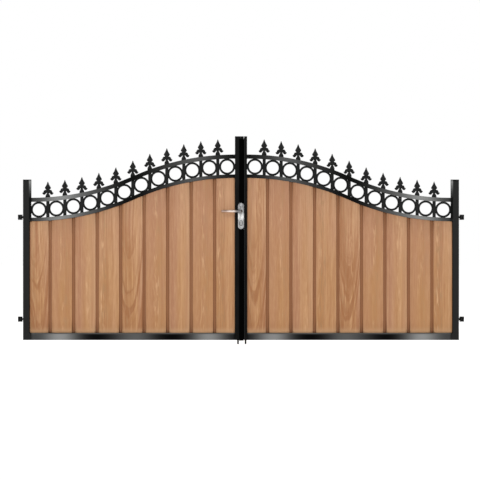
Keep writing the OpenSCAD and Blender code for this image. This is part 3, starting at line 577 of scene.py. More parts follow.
@dataclass(frozen=True)
class OiledTimber:
    """Oiled softwood boards with upright grain, rosy above and amber below."""

    name: str = "oiled_boards"
    amber: Rgb = (0.386, 0.193, 0.078)
    rosy: Rgb = (0.371, 0.186, 0.105)
    cream: Rgb = (0.56, 0.34, 0.185)
    rust: Rgb = (0.29, 0.122, 0.048)
    moss: Rgb = (0.245, 0.138, 0.062)
    # The groove colour is painted shade for the grooves' walls and floors.
    groove: Rgb = (0.21, 0.083, 0.034)
    board_wide: float = 0.14
    arch_bend: float = 60.0
    arch_scale: float = 10.0
    sway: float = 0.03
    # Painted light at the boards' foot, making up for the shade above the bottom rail.
    foot_pale: float = 0.72
    grain_tall: float = 0.35 * MM

    def shaded(self, bench: Bench, colour: Any, level: Flow, pale: float, dark: float) -> Any:
        """Mixes in cream by what a level is over nought, and rust by what it is under."""
        colour = bench.blend(level.most(0.0) * pale, colour, self.cream)
        return bench.blend((0.0 - level).most(0.0) * dark, colour, self.rust)

    def make(self) -> Material:
        """Builds the material from the boards' marks: their grain, share, shift and groove.

        Returns:
            The material. Streaks are noise that is drawn out along the board, flecks are
            shorter noise in one column, and flames are noise over the height less the squared
            distance from the heart line, bent by slow noise.
        """
        bench = Bench(self.name)
        x, y, z = bench.axes()
        share, shift, groove = bench.mark("share"), bench.mark("shift"), bench.mark("groove")
        grain = {name: bench.mark(name) for name in asdict(Cut.CALM.value)}

        def layer(across: Flow, deep: Flow, fine: float, long: float, drift: float = 0.0,
                  detail: float = 2.0, rough: float = 0.5) -> Flow:
            """Noise with its own fineness across the board and along it, less its average."""
            spot = bench.spot(across * fine, deep, z * long + drift * shift)
            return bench.noise(1.0, detail, rough, spot) - 0.5

        bend = layer(x + shift, shift, 9.0, 1.5, detail=3.0, rough=0.45)
        across = x + shift + self.sway * bend
        broad = layer(across, y, 40.0, 0.9, 1.0)
        streaks = layer(across, y, 125.0, 2.4, 1.0, 4.0, 0.6)
        shades = layer(across, y, 90.0, 13.0, -1.0, 3.0, 0.6)
        flecks = layer(across, y, 115.0, 12.0, 1.0)
        patch = layer(across, shift, 16.0, 3.2)
        fibre = layer(x + shift, y * 60.0, 420.0, 7.0, 0.0, 3.0, 0.6)
        offset = (share - grain["heart"]) * self.board_wide + self.sway * bend
        arch = (z - self.arch_bend * offset * offset + 0.5 * bend) * self.arch_scale
        arches = bench.noise(1.0, where=bench.spot(arch, shift, x * 3.0))
        off_fleck, off_dark = (
            (share + 0.5 * bend - grain[name]).size() for name in ("fleck_at", "dark_at"))
        contrast = grain["contrast"]
        colour = bench.blend(z.ramp(0.15, 1.15) + 1.6 * patch, self.amber, self.rosy)
        rosy = grain["rosy_left"] * share.fall(0.2, 0.55) + grain["rosy_right"] * share.ramp(0.7, 0.9)
        colour = bench.blend(rosy.least(1.0), colour, self.rosy)
        level = grain["light"] + grain["slope"] * (share.ramp(0.0, 0.75) - 0.5)
        level = level - grain["fade"] * (0.5 - z.ramp(0.1, 1.15)) * 0.8
        colour = self.shaded(bench, colour, level, 0.5, 0.5)
        colour = self.shaded(bench, colour, broad * contrast, 1.8, 2.0)
        colour = self.shaded(bench, colour, streaks * contrast, 2.3, 2.5)
        flame = arches.ramp(0.42, 0.58) * z.fall(0.4, 0.95) * grain["flames"]
        colour = bench.blend(flame, colour, self.rust)
        dark = shades.ramp(-0.04, 0.16) * off_dark.fall(0.04, 0.24) * grain["darks"]
        colour = bench.blend(dark, colour, self.moss)
        fleck = flecks.ramp(-0.02, 0.16) * off_fleck.fall(0.02, 0.16) * grain["flecks"]
        colour = bench.blend(fleck * patch.ramp(-0.09, 0.07), colour, self.cream)
        colour = self.shaded(bench, colour, shades, 0.9, 0.9)
        colour = self.shaded(bench, colour, fibre, 0.5, 0.6)
        # Painted shade beside each groove: the first ninth of every board's width darkens towards the
        # groove colour.
        colour = bench.blend(share.fall(0.0, 0.09) * 0.22, colour, self.groove)
        # Painted light at the boards' foot, making up for the shade above the bottom rail.
        foot = z.fall(0.076, 0.142)
        colour = bench.blend(foot * foot * self.foot_pale, colour, self.cream)
        # Painted shade in the grooves: their walls and floors take the dark groove colour.
        colour = bench.blend(groove, colour, self.groove)
        bench.bump(fibre * 0.7 + streaks * 0.3 + 0.5, self.grain_tall)
        return bench.finish(
            Base_Color=colour,
            Roughness=0.61 + 0.22 * fibre + 0.1 * groove,
            Specular_IOR_Level=0.25,
        )


@dataclass(frozen=True)
class DrawnMetal:
    """Bare metal with fine marks drawn along one axis, faint stains and soft wear.

    Between the two places of its shine, along the axis of that number, it gets a painted
    highlight, and past the second one it is painted darker.
    """

    name: str
    colour: Rgb
    stain: Rgb
    roughness: float
    along: Place
    shine: tuple[int, float, float] = (2, 0.0, 0.0)
    polished: Rgb = (0.9, 0.9, 0.9)
    dull: Rgb = (0.3, 0.3, 0.3)
    soft_share: float = 0.42
    marks: float = 0.02 * MM

    def make(self) -> Material:
        """Builds the material: noise drawn out along its axis gives the marks.

        Returns:
            The material.
        """
        bench = Bench(self.name)
        places = bench.axes()
        drawn = bench.spot(*(place * scale for place, scale in zip(places, self.along)))
        lines = bench.noise(1.0, 3.0, 0.65, drawn)
        cloud = bench.noise(38.0, 3.0, 0.6)
        stains = bench.noise(130.0, 4.0, 0.65).ramp(0.56, 0.74)
        colour = bench.blend(cloud.ramp(0.3, 0.75) * 0.35 + 0.35 * stains, self.colour, self.stain)
        # Painted highlight: a band between the two places of the shine stands in for light reflected in
        # the metal, and past it the metal is painted darker.
        axis, low, high = self.shine
        if high > low:
            place, soft = places[axis], self.soft_share * (high - low)
            band = place.ramp(low, low + soft) * place.fall(high - soft, high)
            colour = bench.blend(place.ramp(high - soft, high), colour, self.dull)
            colour = bench.blend(band * (0.75 + 0.5 * lines).least(1.0), colour, self.polished)
        bench.bump(lines, self.marks)
        roughness = self.roughness + 0.16 * (lines - 0.5) + 0.12 * cloud
        return bench.finish(Base_Color=colour, Metallic=1.0, Roughness=roughness)


@dataclass(frozen=True)
class Moulding:
    """Moulded plastic or rubber: fine texture, soft scuffs and a little dust."""

    name: str
    colour: Rgb
    pale: Rgb
    roughness: float
    gloss: float
    grain: float
    grain_tall: float = 0.04 * MM

    def make(self) -> Material:
        """Builds the material: fine noise for the texture and coarse noise for the scuffs.

        Returns:
            The material.
        """
        bench = Bench(self.name)
        texture = bench.noise(self.grain, 2.0)
        scuffs = bench.noise(22.0, 5.0, 0.7).ramp(0.5, 0.78)
        bench.bump(texture, self.grain_tall)
        return bench.finish(
            Base_Color=bench.blend(0.6 * scuffs + 0.1 * texture, self.colour, self.pale),
            Roughness=self.roughness + 0.12 * scuffs,
            Specular_IOR_Level=self.gloss,
        )


def mix_paints() -> Paints:
    """Makes every material of the gate once.

    Returns:
        The materials, by their names.
    """
    upright = (260.0, 260.0, 9.0)
    finishes = (
        PowderCoat("frame_coat", (0.0155, 0.0170, 0.0172), (0.024, 0.026, 0.026)),
        # centre_coat: a painted highlight runs along the meeting stile's left edge, 21.5 to 27.5 mm
        # right of the middle.
        PowderCoat("centre_coat", (0.0012, 0.0012, 0.0012), (0.009, 0.0093, 0.0093), gloss=0.06,
                   dust=0.06, worn=(0.0215, 0.0275)),
        # rail_coat: its pale colour is the painted reflection that the gleam mark mixes in.
        PowderCoat("rail_coat", (0.0002, 0.0002, 0.0002), (0.27, 0.275, 0.272), roughness=0.5,
                   gloss=0.025, dust=0.008, gleaming=True),
        PowderCoat("infill_coat", (0.0052, 0.0056, 0.0056), (0.0125, 0.013, 0.013), gloss=0.12),
        PowderCoat("hinge_coat", (0.0045, 0.0048, 0.005), (0.012, 0.0125, 0.0125), roughness=0.5,
                   gloss=0.2),
        PowderCoat("rod_coat", (0.005, 0.0052, 0.0054), (0.014, 0.0145, 0.0145), roughness=0.5,
                   gloss=0.06),
        OiledTimber(),
        Moulding("cap_plastic", (0.006, 0.0062, 0.0064), (0.016, 0.016, 0.016), roughness=0.45,
                 gloss=0.3, grain=900.0),
        Moulding("strip_rubber", (0.0003, 0.0003, 0.0003), (0.0016, 0.0016, 0.0016),
                 roughness=0.6, gloss=0.012, grain=700.0),
        DrawnMetal("stainless", (0.50, 0.50, 0.49), (0.24, 0.24, 0.25), roughness=0.24,
                   along=upright),
        # plate_steel: a painted highlight in a band across the plate between the key and the lever,
        # painted darker above it.
        DrawnMetal("plate_steel", (0.40, 0.40, 0.40), (0.20, 0.20, 0.205), roughness=0.22,
                   along=upright, shine=(2, 0.846, 0.906), polished=(0.75, 0.75, 0.74),
                   dull=(0.34, 0.34, 0.345)),
        # lever_steel: its warm colour is a painted reflection of the timber boards, with a painted
        # highlight along the grip and a painted darker tone at the neck.
        DrawnMetal("lever_steel", (0.42, 0.31, 0.265), (0.25, 0.18, 0.15), roughness=0.26,
                   along=(9.0, 260.0, 260.0), shine=(0, -0.108, -0.024),
                   polished=(0.76, 0.66, 0.60), dull=(0.20, 0.20, 0.205)),
        DrawnMetal("bright_zinc", (0.52, 0.53, 0.55), (0.30, 0.31, 0.32), roughness=0.34,
                   along=(90.0, 12.0, 90.0)),
        DrawnMetal("drawn_brass", (0.60, 0.44, 0.20), (0.36, 0.25, 0.11), roughness=0.28,
                   along=(300.0, 10.0, 300.0)),
    )
    return {finish.name: finish.make() for finish in finishes}


# Making and placing pieces


def linked(name: str, data: Any) -> bpy.types.Object:
    """Puts a new object into the scene.

    Args:
        name: its name.
        data: its mesh, light or camera.

    Returns:
        The object.
    """
    made = bpy.data.objects.new(name, data)
    bpy.context.scene.collection.objects.link(made)
    return made


def finish_piece(
    piece: bpy.types.Object, paint: Material, body: str, stands_for: tuple[str, ...]
) -> bpy.types.Object:
    """Dresses a piece and ties it to the CAD model.

    Args:
        piece: the object, at the origin.
        paint: its material.
        body: the CAD body that it moves with.
        stands_for: CAD nodes that it replaces.

    Returns:
        The piece.
    """
    piece.data.materials.clear()
    piece.data.materials.append(paint)
    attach(piece, body)
    if stands_for:
        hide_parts(*stands_for)
    LOG.info("%s: %d faces, on %s", piece.name, len(piece.data.polygons), body)
    return piece


def add_piece(
    shell: Shell, name: str, paint: Material, body: str, stands_for: tuple[str, ...] = ()
) -> bpy.types.Object:
    """Makes a shell into a piece whose flat faces stay flat beside its round edges.

    Args:
        shell: its surfaces.
        name: the piece's name.
        paint: its material.
        body: the CAD body that it moves with.
        stands_for: CAD nodes that it replaces.

    Returns:
        The piece.
    """
    piece = linked(name, shell.mesh(name))
    piece.modifiers.new("flat_faces", "WEIGHTED_NORMAL").keep_sharp = True
    return finish_piece(piece, paint, body, stands_for)


def rounded_copy(node: str, width: float, paint: Material) -> bpy.types.Object:
    """Makes a copy of a CAD node with its sharp edges rounded, and shows it instead.

    Args:
        node: the CAD node.
        width: width of the rounding.
        paint: its material.

    Returns:
        The piece.
    """
    source = frame["nodes"][node]
    name = f"{node}_round"
    work = bmesh.new()
    work.from_mesh(source.data)
    bmesh.ops.remove_doubles(work, verts=work.verts, dist=0.005 * MM)
    bmesh.ops.dissolve_limit(
        work, angle_limit=FLAT_ANGLE, verts=work.verts, edges=work.edges)
    mesh = bpy.data.meshes.new(name)
    work.to_mesh(mesh)
    work.free()
    mesh.shade_smooth()
    piece = linked(name, mesh)
    bevel = piece.modifiers.new("round_edges", "BEVEL")
    bevel.width, bevel.segments = width, 2
    bevel.limit_method, bevel.angle_limit = "ANGLE", SHARP_ANGLE
    bevel.harden_normals = True
    return finish_piece(piece, paint, source["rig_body"], (node,))


def paint_node(node: str, paint: Material) -> None:
    """Gives a CAD node that stays in view its material.

    Args:
        node: the CAD node.
        paint: the material.
    """
    shown = frame["nodes"][node]
    if not shown.material_slots:
        shown.data.materials.append(paint)
    for holder in shown.material_slots:
        holder.material = paint
    LOG.info("%s: CAD shape, painted %s", node, paint.name)


@dataclass
class Part:
    """A sub-assembly of the gate, with the materials that its pieces are dressed in."""

    paints: Paints

    def build(self) -> None:
        """Makes and dresses its pieces."""
        raise NotImplementedError


# The leaves


@dataclass(frozen=True)
class SwanNeck:
    """The line of the curved rails: two equal arcs, level at both stiles.

    The lower arc bends up from the hinge stile and the upper one bends down to the meeting
    stile; they have one tangent where they meet, half way. The mid rail is the same line,
    lowered by the drop.
    """

    x0: float = -1.436
    x1: float = -0.0415
    low: float = 1.001
    high: float = 1.297
    drop: float = 0.134
    thick: float = 0.026

    @property
    def turn(self) -> float:
        """Angle of each arc: twice the slope of the line between the two ends."""
        return 2 * math.atan((self.high - self.low) / (self.x1 - self.x0))

    @property
    def radius(self) -> float:
        """Radius of both arcs: half the width over the sine of their angle."""
        return (self.x1 - self.x0) / (2 * math.sin(self.turn))

    def height(self, x: Array, drop: float = 0.0, inset: float = 0.0) -> Array:
        """Height of the line at x.

        Args:
            x: places along the leaf.
            drop: how far the whole line is lowered.
            inset: how far it is moved in, square to itself.

        Returns:
            The heights: on each arc, its centre's height less or plus the side of a right
            triangle whose long side is the radius.
        """
        low_arc = np.maximum((self.radius + inset) ** 2 - (x - self.x0) ** 2, 0.0)
        high_arc = np.maximum((self.radius - inset) ** 2 - (self.x1 - x) ** 2, 0.0)
        below = self.low + self.radius - drop - np.sqrt(low_arc)
        above = self.high - self.radius - drop + np.sqrt(high_arc)
        return np.where(x < (self.x0 + self.x1) / 2, below, above)

    def stations(self, drop: float, inset: float, count: int) -> tuple[Array, Array]:
        """Points along the line and their upward normals.

        Args:
            drop: how far the line is lowered.
            inset: how far it is moved in, square to itself.
            count: number of stations.

        Returns:
            The points and the normals. A point is its arc's centre plus the radius turned to
            its angle.
        """
        share = np.linspace(0.0, 2.0, count)
        angle = self.turn * np.where(share < 1, share, 2 - share)
        normal = np.stack([-np.sin(angle), np.zeros(count), np.cos(angle)], -1)
        low_centre = np.array([self.x0, 0, self.low + self.radius - drop])
        high_centre = np.array([self.x1, 0, self.high - self.radius - drop])
        below = low_centre - normal * (self.radius + inset)
        above = high_centre + normal * (self.radius - inset)
        return np.where((share < 1)[:, None], below, above), normal


@dataclass
class LeafPart(Part):
    """Something that both leaves have, written for the left one."""

    side: Side
    neck: SwanNeck

    def put(self, shell: Shell, name: str, ending: str, paint: str, slot: str) -> None:
        """Makes a shell into a piece of this leaf.

        Args:
            shell: its surfaces.
            name: its name, without the side.
            ending: what follows the name where the piece stands for the node of that name.
            paint: its material's name.
            slot: the record's material slot; not used.
        """
        node = self.side.named(name)
        stands_for = (node,) if ending else ()
        add_piece(shell, node + ending, self.paints[paint], self.side.body, stands_for)


@dataclass(frozen=True)
class Gleam:
    """A painted reflection: a soft light patch on a rail, at a distance from the gate's middle."""

    at: float
    wide: float
    level: float


def gleam_over(points: Array, gleams: tuple[Gleam, ...], behind: float = 0.33) -> Array:
    """How pale a rail's coat is painted at each point: a painted reflection.

    Each gleam adds its level times e to the power of less the square of the distance from its
    middle over its width.

    Args:
        points: the rail's points.
        gleams: its gleams.
        behind: share of the tone that the back of a rail has.

    Returns:
        The tone at each point.
    """
    reach = np.abs(points[..., 0])
    total = sum(g.level * np.exp(-(((reach - g.at) / g.wide) ** 2)) for g in gleams)
    return total * np.where(points[..., 1] < 0, 1.0, behind)


@dataclass
class CurvedRails(LeafPart):
    """Top and mid rail of a leaf: a rounded box section carried along the swan neck."""

    top_thick: float = 0.028
    mid_thick: float = 0.024
    top_rise: float = 0.002
    # Levels of the painted reflection on the top rail and the mid rail.
    top_pale: float = 0.86
    mid_pale: float = 0.80
    deep: float = 0.040
    corner: float = 2.6 * MM
    stations: int = 73
    # Painted reflections along the rails, by distance from the gate's middle.
    gleams: tuple[Gleam, ...] = (
        Gleam(1.25, 0.12, 0.74), Gleam(1.08, 0.17, 0.31), Gleam(1.44, 0.06, 0.08),
        Gleam(0.30, 0.13, 0.28), Gleam(0.48, 0.16, 0.10), Gleam(0.10, 0.05, 0.03),
    )

    def build(self) -> None:
        """Makes both rails, with their painted reflections marked as gleams."""
        for name, drop, thick, pale in (
            ("top_rail", -self.top_rise, self.top_thick, self.top_pale),
            ("mid_rail", self.neck.drop, self.mid_thick, self.mid_pale),
        ):
            path, normal = self.neck.stations(drop, thick / 2, self.stations)
            outline = rounded_rectangle(thick, self.deep, self.corner)
            rings = self.side.place(sweep(path, normal, Y_AXIS, outline))[None]
            shell = Shell().add_tubes(rings, gleam=pale * gleam_over(rings, self.gleams))
            self.put(shell, name, "_round", "rail_coat", "steel_frame")


@dataclass
class StraightFrame(LeafPart):
    """Hinge stile, bottom rail and cross rails of a leaf, as box sections with round edges."""

    corner: float = 4.0 * MM
    small_corner: float = 2.5 * MM
    # Painted reflections along the bottom rail, by distance from the gate's middle.
    gleams: tuple[Gleam, ...] = (
        Gleam(1.24, 0.105, 0.83), Gleam(1.44, 0.08, 0.14), Gleam(0.80, 0.10, 0.12),
        Gleam(0.70, 0.10, 0.26), Gleam(0.22, 0.10, 0.76),
    )
    plain: float = 0.062
    # Painted highlight along the bottom rail's top front edge: its level, its height, and how much the
    # gleam takes from it.
    rim: float = 0.34
    rim_tall: float = 0.006
    rim_less: float = 1.2
    stile_parts: int = 12
    stile_stations: int = 90
    rail_parts: int = 9
    rail_stations: int = 97
    # Painted shade and reflection on the stile's inner front strip: its width, the reflection's level,
    # the shade's level, and how far below the top rail's low end the shade reaches.
    stile_strip: float = 0.0150
    strip_pale: float = 0.85
    strip_dark: float = 0.2
    dark_tall: float = 0.14
    stop_top: float = 0.098
    cross_low: float = 0.440
    rebate: float = 0.009
    rebate_back: float = 0.0035
    rebate_low: float = 0.078
    rebate_high: float = 0.8425

    def rebated(self, rings: Array) -> Array:
        """The hinge stile with a rebate that the outer board goes into.

        Between the bottom rail and the mid rail, the section's points at its inner front corner
        are spread along a line behind the board, from the rebate's wall to the inner face.

        Args:
            rings: the plain stile's rings.

        Returns:
            The rings, with two of them moved to each end of the rebate.
        """
        rings = rings.copy()
        section, heights = rings[0, 0], rings[0, :, 0, 2]
        near = 0.1 * MM
        for edge in (self.rebate_low, self.rebate_high):
            at = int(np.searchsorted(heights, edge))
            rings[:, at - 1, :, 2], rings[:, at, :, 2] = edge - near, edge + near
        reach, side = np.abs(section[:, 0]), np.sign(section[0, 0])
        inner = -self.neck.x0
        wall = inner + self.rebate
        order = np.flatnonzero((reach < wall) & (section[:, 1] < self.rebate_back))
        jump = np.flatnonzero(np.diff(order) > 1)
        if len(jump):
            order = np.roll(order, -int(jump[0]) - 1)
        floor = np.linspace(wall, inner, len(order))
        if reach[order[0]] < reach[order[-1]]:
            floor = floor[::-1]
        rows = np.flatnonzero((heights > self.rebate_low) & (heights < self.rebate_high))
        spot = np.ix_([0], rows, order)
        rings[(*spot, 0)] = side * floor
        rings[(*spot, 1)] = self.rebate_back
        return rings

    def stile_gleam(self, points: Array) -> Array:
        """How pale the stile's coat is painted.

        A strip along its inner front edge gets painted shade beside the rings, and above them a
        painted reflection that grows with the square of the height.

        Args:
            points: the stile's points.

        Returns:
            The tone at each point.
        """
        reach, height = np.abs(points[..., 0]), points[..., 2]
        strip = (reach < -self.neck.x0 + self.stile_strip) & (points[..., 1] < 0)
        rise = np.clip((height - self.neck.low) / (height.max() - self.neck.low), 0, 1)
        beside_rings = (height > self.neck.low - self.dark_tall) & (rise == 0)
        tone = np.where(
            beside_rings, self.strip_dark * self.plain, self.plain + self.strip_pale * rise**2)
        return np.where(strip, tone, self.plain)

    def build(self) -> None:
        """Makes the straight members, with painted reflections on the stile and the bottom rail."""
        low, high = box_of(self.side.named("hinge_stile"))
        rings = self.rebated(box_bar(low, high, 2, self.corner, self.stile_parts, self.stile_stations))
        stile = Shell().add_tubes(rings, gleam=self.stile_gleam(rings))
        self.put(stile, "hinge_stile", "_round", "rail_coat", "steel_frame")
        low, high = box_of(self.side.named("bottom_rail"))
        rings = box_bar(low, high, 0, self.small_corner, self.rail_parts, self.rail_stations)
        tone = gleam_over(rings, self.gleams)
        # Painted highlight along the top front edge of the bottom rail.
        at_rim = np.exp(-(((high[2] - rings[..., 2]) / self.rim_tall) ** 2)) * (rings[..., 1] < 0)
        rail = Shell().add_tubes(rings, gleam=tone + (self.rim - self.rim_less * tone) * at_rim)
        self.put(rail, "bottom_rail", "_round", "rail_coat", "steel_frame")
        low, high = box_of(self.side.named("cross_rails"))
        stop_high = np.array([*high[:2], self.stop_top])
        cross_low = np.array([*low[:2], self.cross_low])
        shell = Shell()
        for ends in ((low, stop_high), (cross_low, high)):
            shell.add_tubes(box_bar(*ends, 0, self.small_corner))
        self.put(shell, "cross_rails", "_round", "frame_coat", "steel_frame")


@dataclass
class RingRow(LeafPart):
    """The row of rings and square bars between the curved rails, with their weld beads."""

    count: int = 12
    bar: float = 0.020
    bar_coated: float = 0.0218
    band: float = 0.0146
    sunk: float = 0.0014
    bar_sunk: float = 4 * MM
    deep: float = 0.012
    low_more: float = 0.0075
    high_more: float = 0.011
    flat: float = 0.006
    fit: float = 0.2 * MM
    bead_long: float = 0.021
    bead: float = 1.7 * MM
    ring_corner: float = 1.6 * MM
    bar_corner: float = 1.5 * MM
    ring_stations: int = 56

    @property
    def bay(self) -> float:
        """Clear width between two bars: what the bars and the wider end bays leave."""
        bars = (self.count - 1) * self.bar
        return (self.neck.x1 - self.neck.x0 - bars - self.low_more - self.high_more) / self.count

    @property
    def outer(self) -> float:
        """Outer radius of a ring.

        Half the lesser of the room between the rails and the bay with both flats, less the fit,
        and more by what it sinks into its neighbours.
        """
        room = min(self.neck.drop - self.neck.thick, self.bay + 2 * self.flat)
        return room / 2 - self.fit + self.sunk

    def bar_places(self) -> Array:
        """Places of the bars: equal bays and bars, counted from the hinge stile.

        Returns:
            Place along x of each bar's middle.
        """
        number = np.arange(self.count - 1)
        start = self.neck.x0 + self.low_more
        return start + (number + 1) * self.bay + (number + 0.5) * self.bar

    def openings(self) -> tuple[Array, Array]:
        """Openings of the rings, from wall to wall.

        Returns:
            Left sides and right sides, each along x.
        """
        bars = self.bar_places()
        left = np.append(self.neck.x0, bars + self.bar / 2)
        return left, np.append(bars - self.bar / 2, self.neck.x1)

    def between_rails(self, x: Array) -> tuple[Array, Array]:
        """Top of the mid rail and underside of the top rail."""
        return self.neck.height(x, self.neck.drop, 0.0), self.neck.height(x, 0.0, self.neck.thick)

    def ring_centres(self) -> Array:
        """Centres of the rings, midway between the bars and between the two rails."""
        x = np.mean(self.openings(), axis=0)
        return np.stack([x, np.zeros_like(x), np.mean(self.between_rails(x), axis=0)], -1)

    def rings(self) -> Array:
        """Flat rings: a rounded rectangle carried round a circle.

        They go into the bars and rails a little, where the solid ones are ground flat.

        Returns:
            The rings' points.
        """
        out = spokes(self.ring_stations)
        path = self.ring_centres()[:, None, :] + out * (self.outer - self.band / 2)
        return sweep(path, out, Y_AXIS, rounded_rectangle(self.band, self.deep, self.ring_corner, 2))

    def bars(self) -> Array:
        """Square bars with round edges, let into both rails by a little.

        Returns:
            The bars' points.
        """
        x = self.bar_places()
        low, high = self.between_rails(x)
        nought = np.zeros_like(x)
        ends = [np.stack([x, nought, z], -1) for z in (low - self.bar_sunk, high + self.bar_sunk)]
        outline = rounded_rectangle(self.bar_coated, self.bar, self.bar_corner, 2)
        return sweep(np.stack(ends, axis=1), X_AXIS, Y_AXIS, outline)

    def beads(self) -> Array:
        """Weld beads where each ring meets its bars, in front and behind.

        A bead is a long ellipsoid: its radius goes with the square root of one less the square
        of the share of its half length, and a ripple runs along it.

        Returns:
            The beads' points.
        """
        share = np.linspace(-0.98, 0.98, 13)
        swell = np.sqrt(1 - share**2) * (1 + 0.12 * np.sin(share * 21))
        level = self.ring_centres()[:, 2]
        starts = np.concatenate([
            np.stack([wall, np.full_like(wall, face * self.deep / 2), level], -1)
            for wall in self.openings() for face in (-1, 1)
        ])
        path = starts[:, None, :] + share[:, None] * self.bead_long * Z_AXIS
        return sweep(path, X_AXIS, Y_AXIS, circle(self.bead, 8)[None] * swell[:, None, None])

    def build(self) -> None:
        """Makes the rings, the bars and the beads."""
        for name, ending, tubes, looped in (
            ("rings", "_round", self.rings(), True),
            ("bars", "_round", self.bars(), False),
            ("ring_welds", "", self.beads(), False),
        ):
            shell = Shell().add_tubes(self.side.place(tubes), looped)
            self.put(shell, name, ending, "infill_coat", "steel_infill")


@dataclass
class Finials(Part):
    """Spear finials: a ridged blade on a waisted stem, two curled arms and a flared foot."""

    row: RingRow
    tall: float = 0.110
    spear_stations: int = 67
    spear_points: int = 28
    arm_stations: int = 29
    arm_points: int = 16

    def spear(self) -> Array:
        """Blade, stem and foot as one closed form, with its tip at nought.

        Each section is a superellipse: the cosine and sine of the angle, each to a power of
        two over the exponent, times the half width and half thickness. A low exponent gives
        the blade its ridge, and an exponent of two makes the stem round.

        Returns:
            The spear's points.
        """
        knots = np.array([
            # depth, half width, half thickness, exponent
            [0, 0.5, 0.5, 2], [4, 2.5, 1.2, 1.9], [9, 4.3, 1.8, 1.7], [17, 7.2, 2.8, 1.5],
            [24, 10.3, 3.9, 1.4], [31, 14.2, 5, 1.35], [37, 18, 5.9, 1.3],
            [41.5, 20.2, 6.3, 1.3], [45, 20.6, 6.4, 1.3], [49.5, 18.5, 6.1, 1.35],
            [54, 14.1, 5.6, 1.5], [57.5, 11.6, 5.2, 1.7], [60, 10.1, 5, 1.9],
            [66, 8.5, 4.8, 2], [72, 6.6, 4.7, 2], [76, 5.9, 4.7, 2], [81, 8, 5, 2],
            [87, 10.5, 5.6, 2.1], [92, 13, 6.2, 2.2], [97, 15.3, 6.8, 2.3],
            [102, 16.4, 7, 2.5], [110, 16.4, 7, 2.5], [122, 16.4, 7, 2.5],
        ])
        line = through(knots, self.spear_stations)
        round_turn = spokes(self.spear_points)
        power = 2 / line[:, 3:4]
        wide, deep = (
            np.sign(wave) * np.abs(wave) ** power * line[:, column:column + 1]
            for wave, column in ((round_turn[:, 0], 1), (round_turn[:, 2], 2))
        )
        down = np.broadcast_to(-line[:, :1], wide.shape)
        return np.stack([wide, deep, down], -1)[None] * MM

    def arms(self) -> Array:
        """The two arms: an ellipse drawn between an upper and a lower edge, thick in the middle.

        A section's middle is halfway between the edges, its half length is half the step from
        one to the other, and its thickness follows a smooth line from root to tip.

        Returns:
            The points of both arms.
        """
        knots = np.array([
            # upper edge's x and z, lower edge's x and z, half thickness
            [1.0, -56.3, 1.0, -78.0, 4.4], [11.6, -56.4, 7.6, -78.6, 4.8],
            [20.6, -57.9, 12.6, -81.6, 5.2], [25.8, -61.2, 16.0, -86.8, 5.4],
            [29.0, -66.6, 21.2, -90.4, 5.2], [31.2, -72.4, 27.8, -90.8, 4.6],
            [34.6, -76.2, 34.0, -87.6, 3.4], [39.4, -77.6, 39.4, -79.0, 0.8],
        ])
        edges = through(knots, self.arm_stations)[:, None, :]
        upper, lower, thick = edges[..., :2], edges[..., 2:4], edges[..., 4:]
        around = circle(1.0, self.arm_points)[None]
        flat = (upper + lower) / 2 + (upper - lower) / 2 * around[..., :1]
        arm = np.concatenate([flat[..., :1], thick * around[..., 1:], flat[..., 1:]], -1)
        return np.stack([arm, arm * [-1, 1, 1]]) * MM

    def build(self) -> None:
        """Stands a finial over every bar."""
        x = self.row.bar_places()
        top = self.row.neck.height(x) + self.tall
        tips = np.stack([x, np.zeros_like(x), top], -1)[:, None, None, None, :]
        shell = Shell()
        for form in (self.spear(), self.arms()):
            copies = self.row.side.place(tips + form[None])
            shell.add_tubes(copies.reshape(-1, *copies.shape[2:]))
        self.row.put(shell, "finials", "_cast", "infill_coat", "steel_infill")


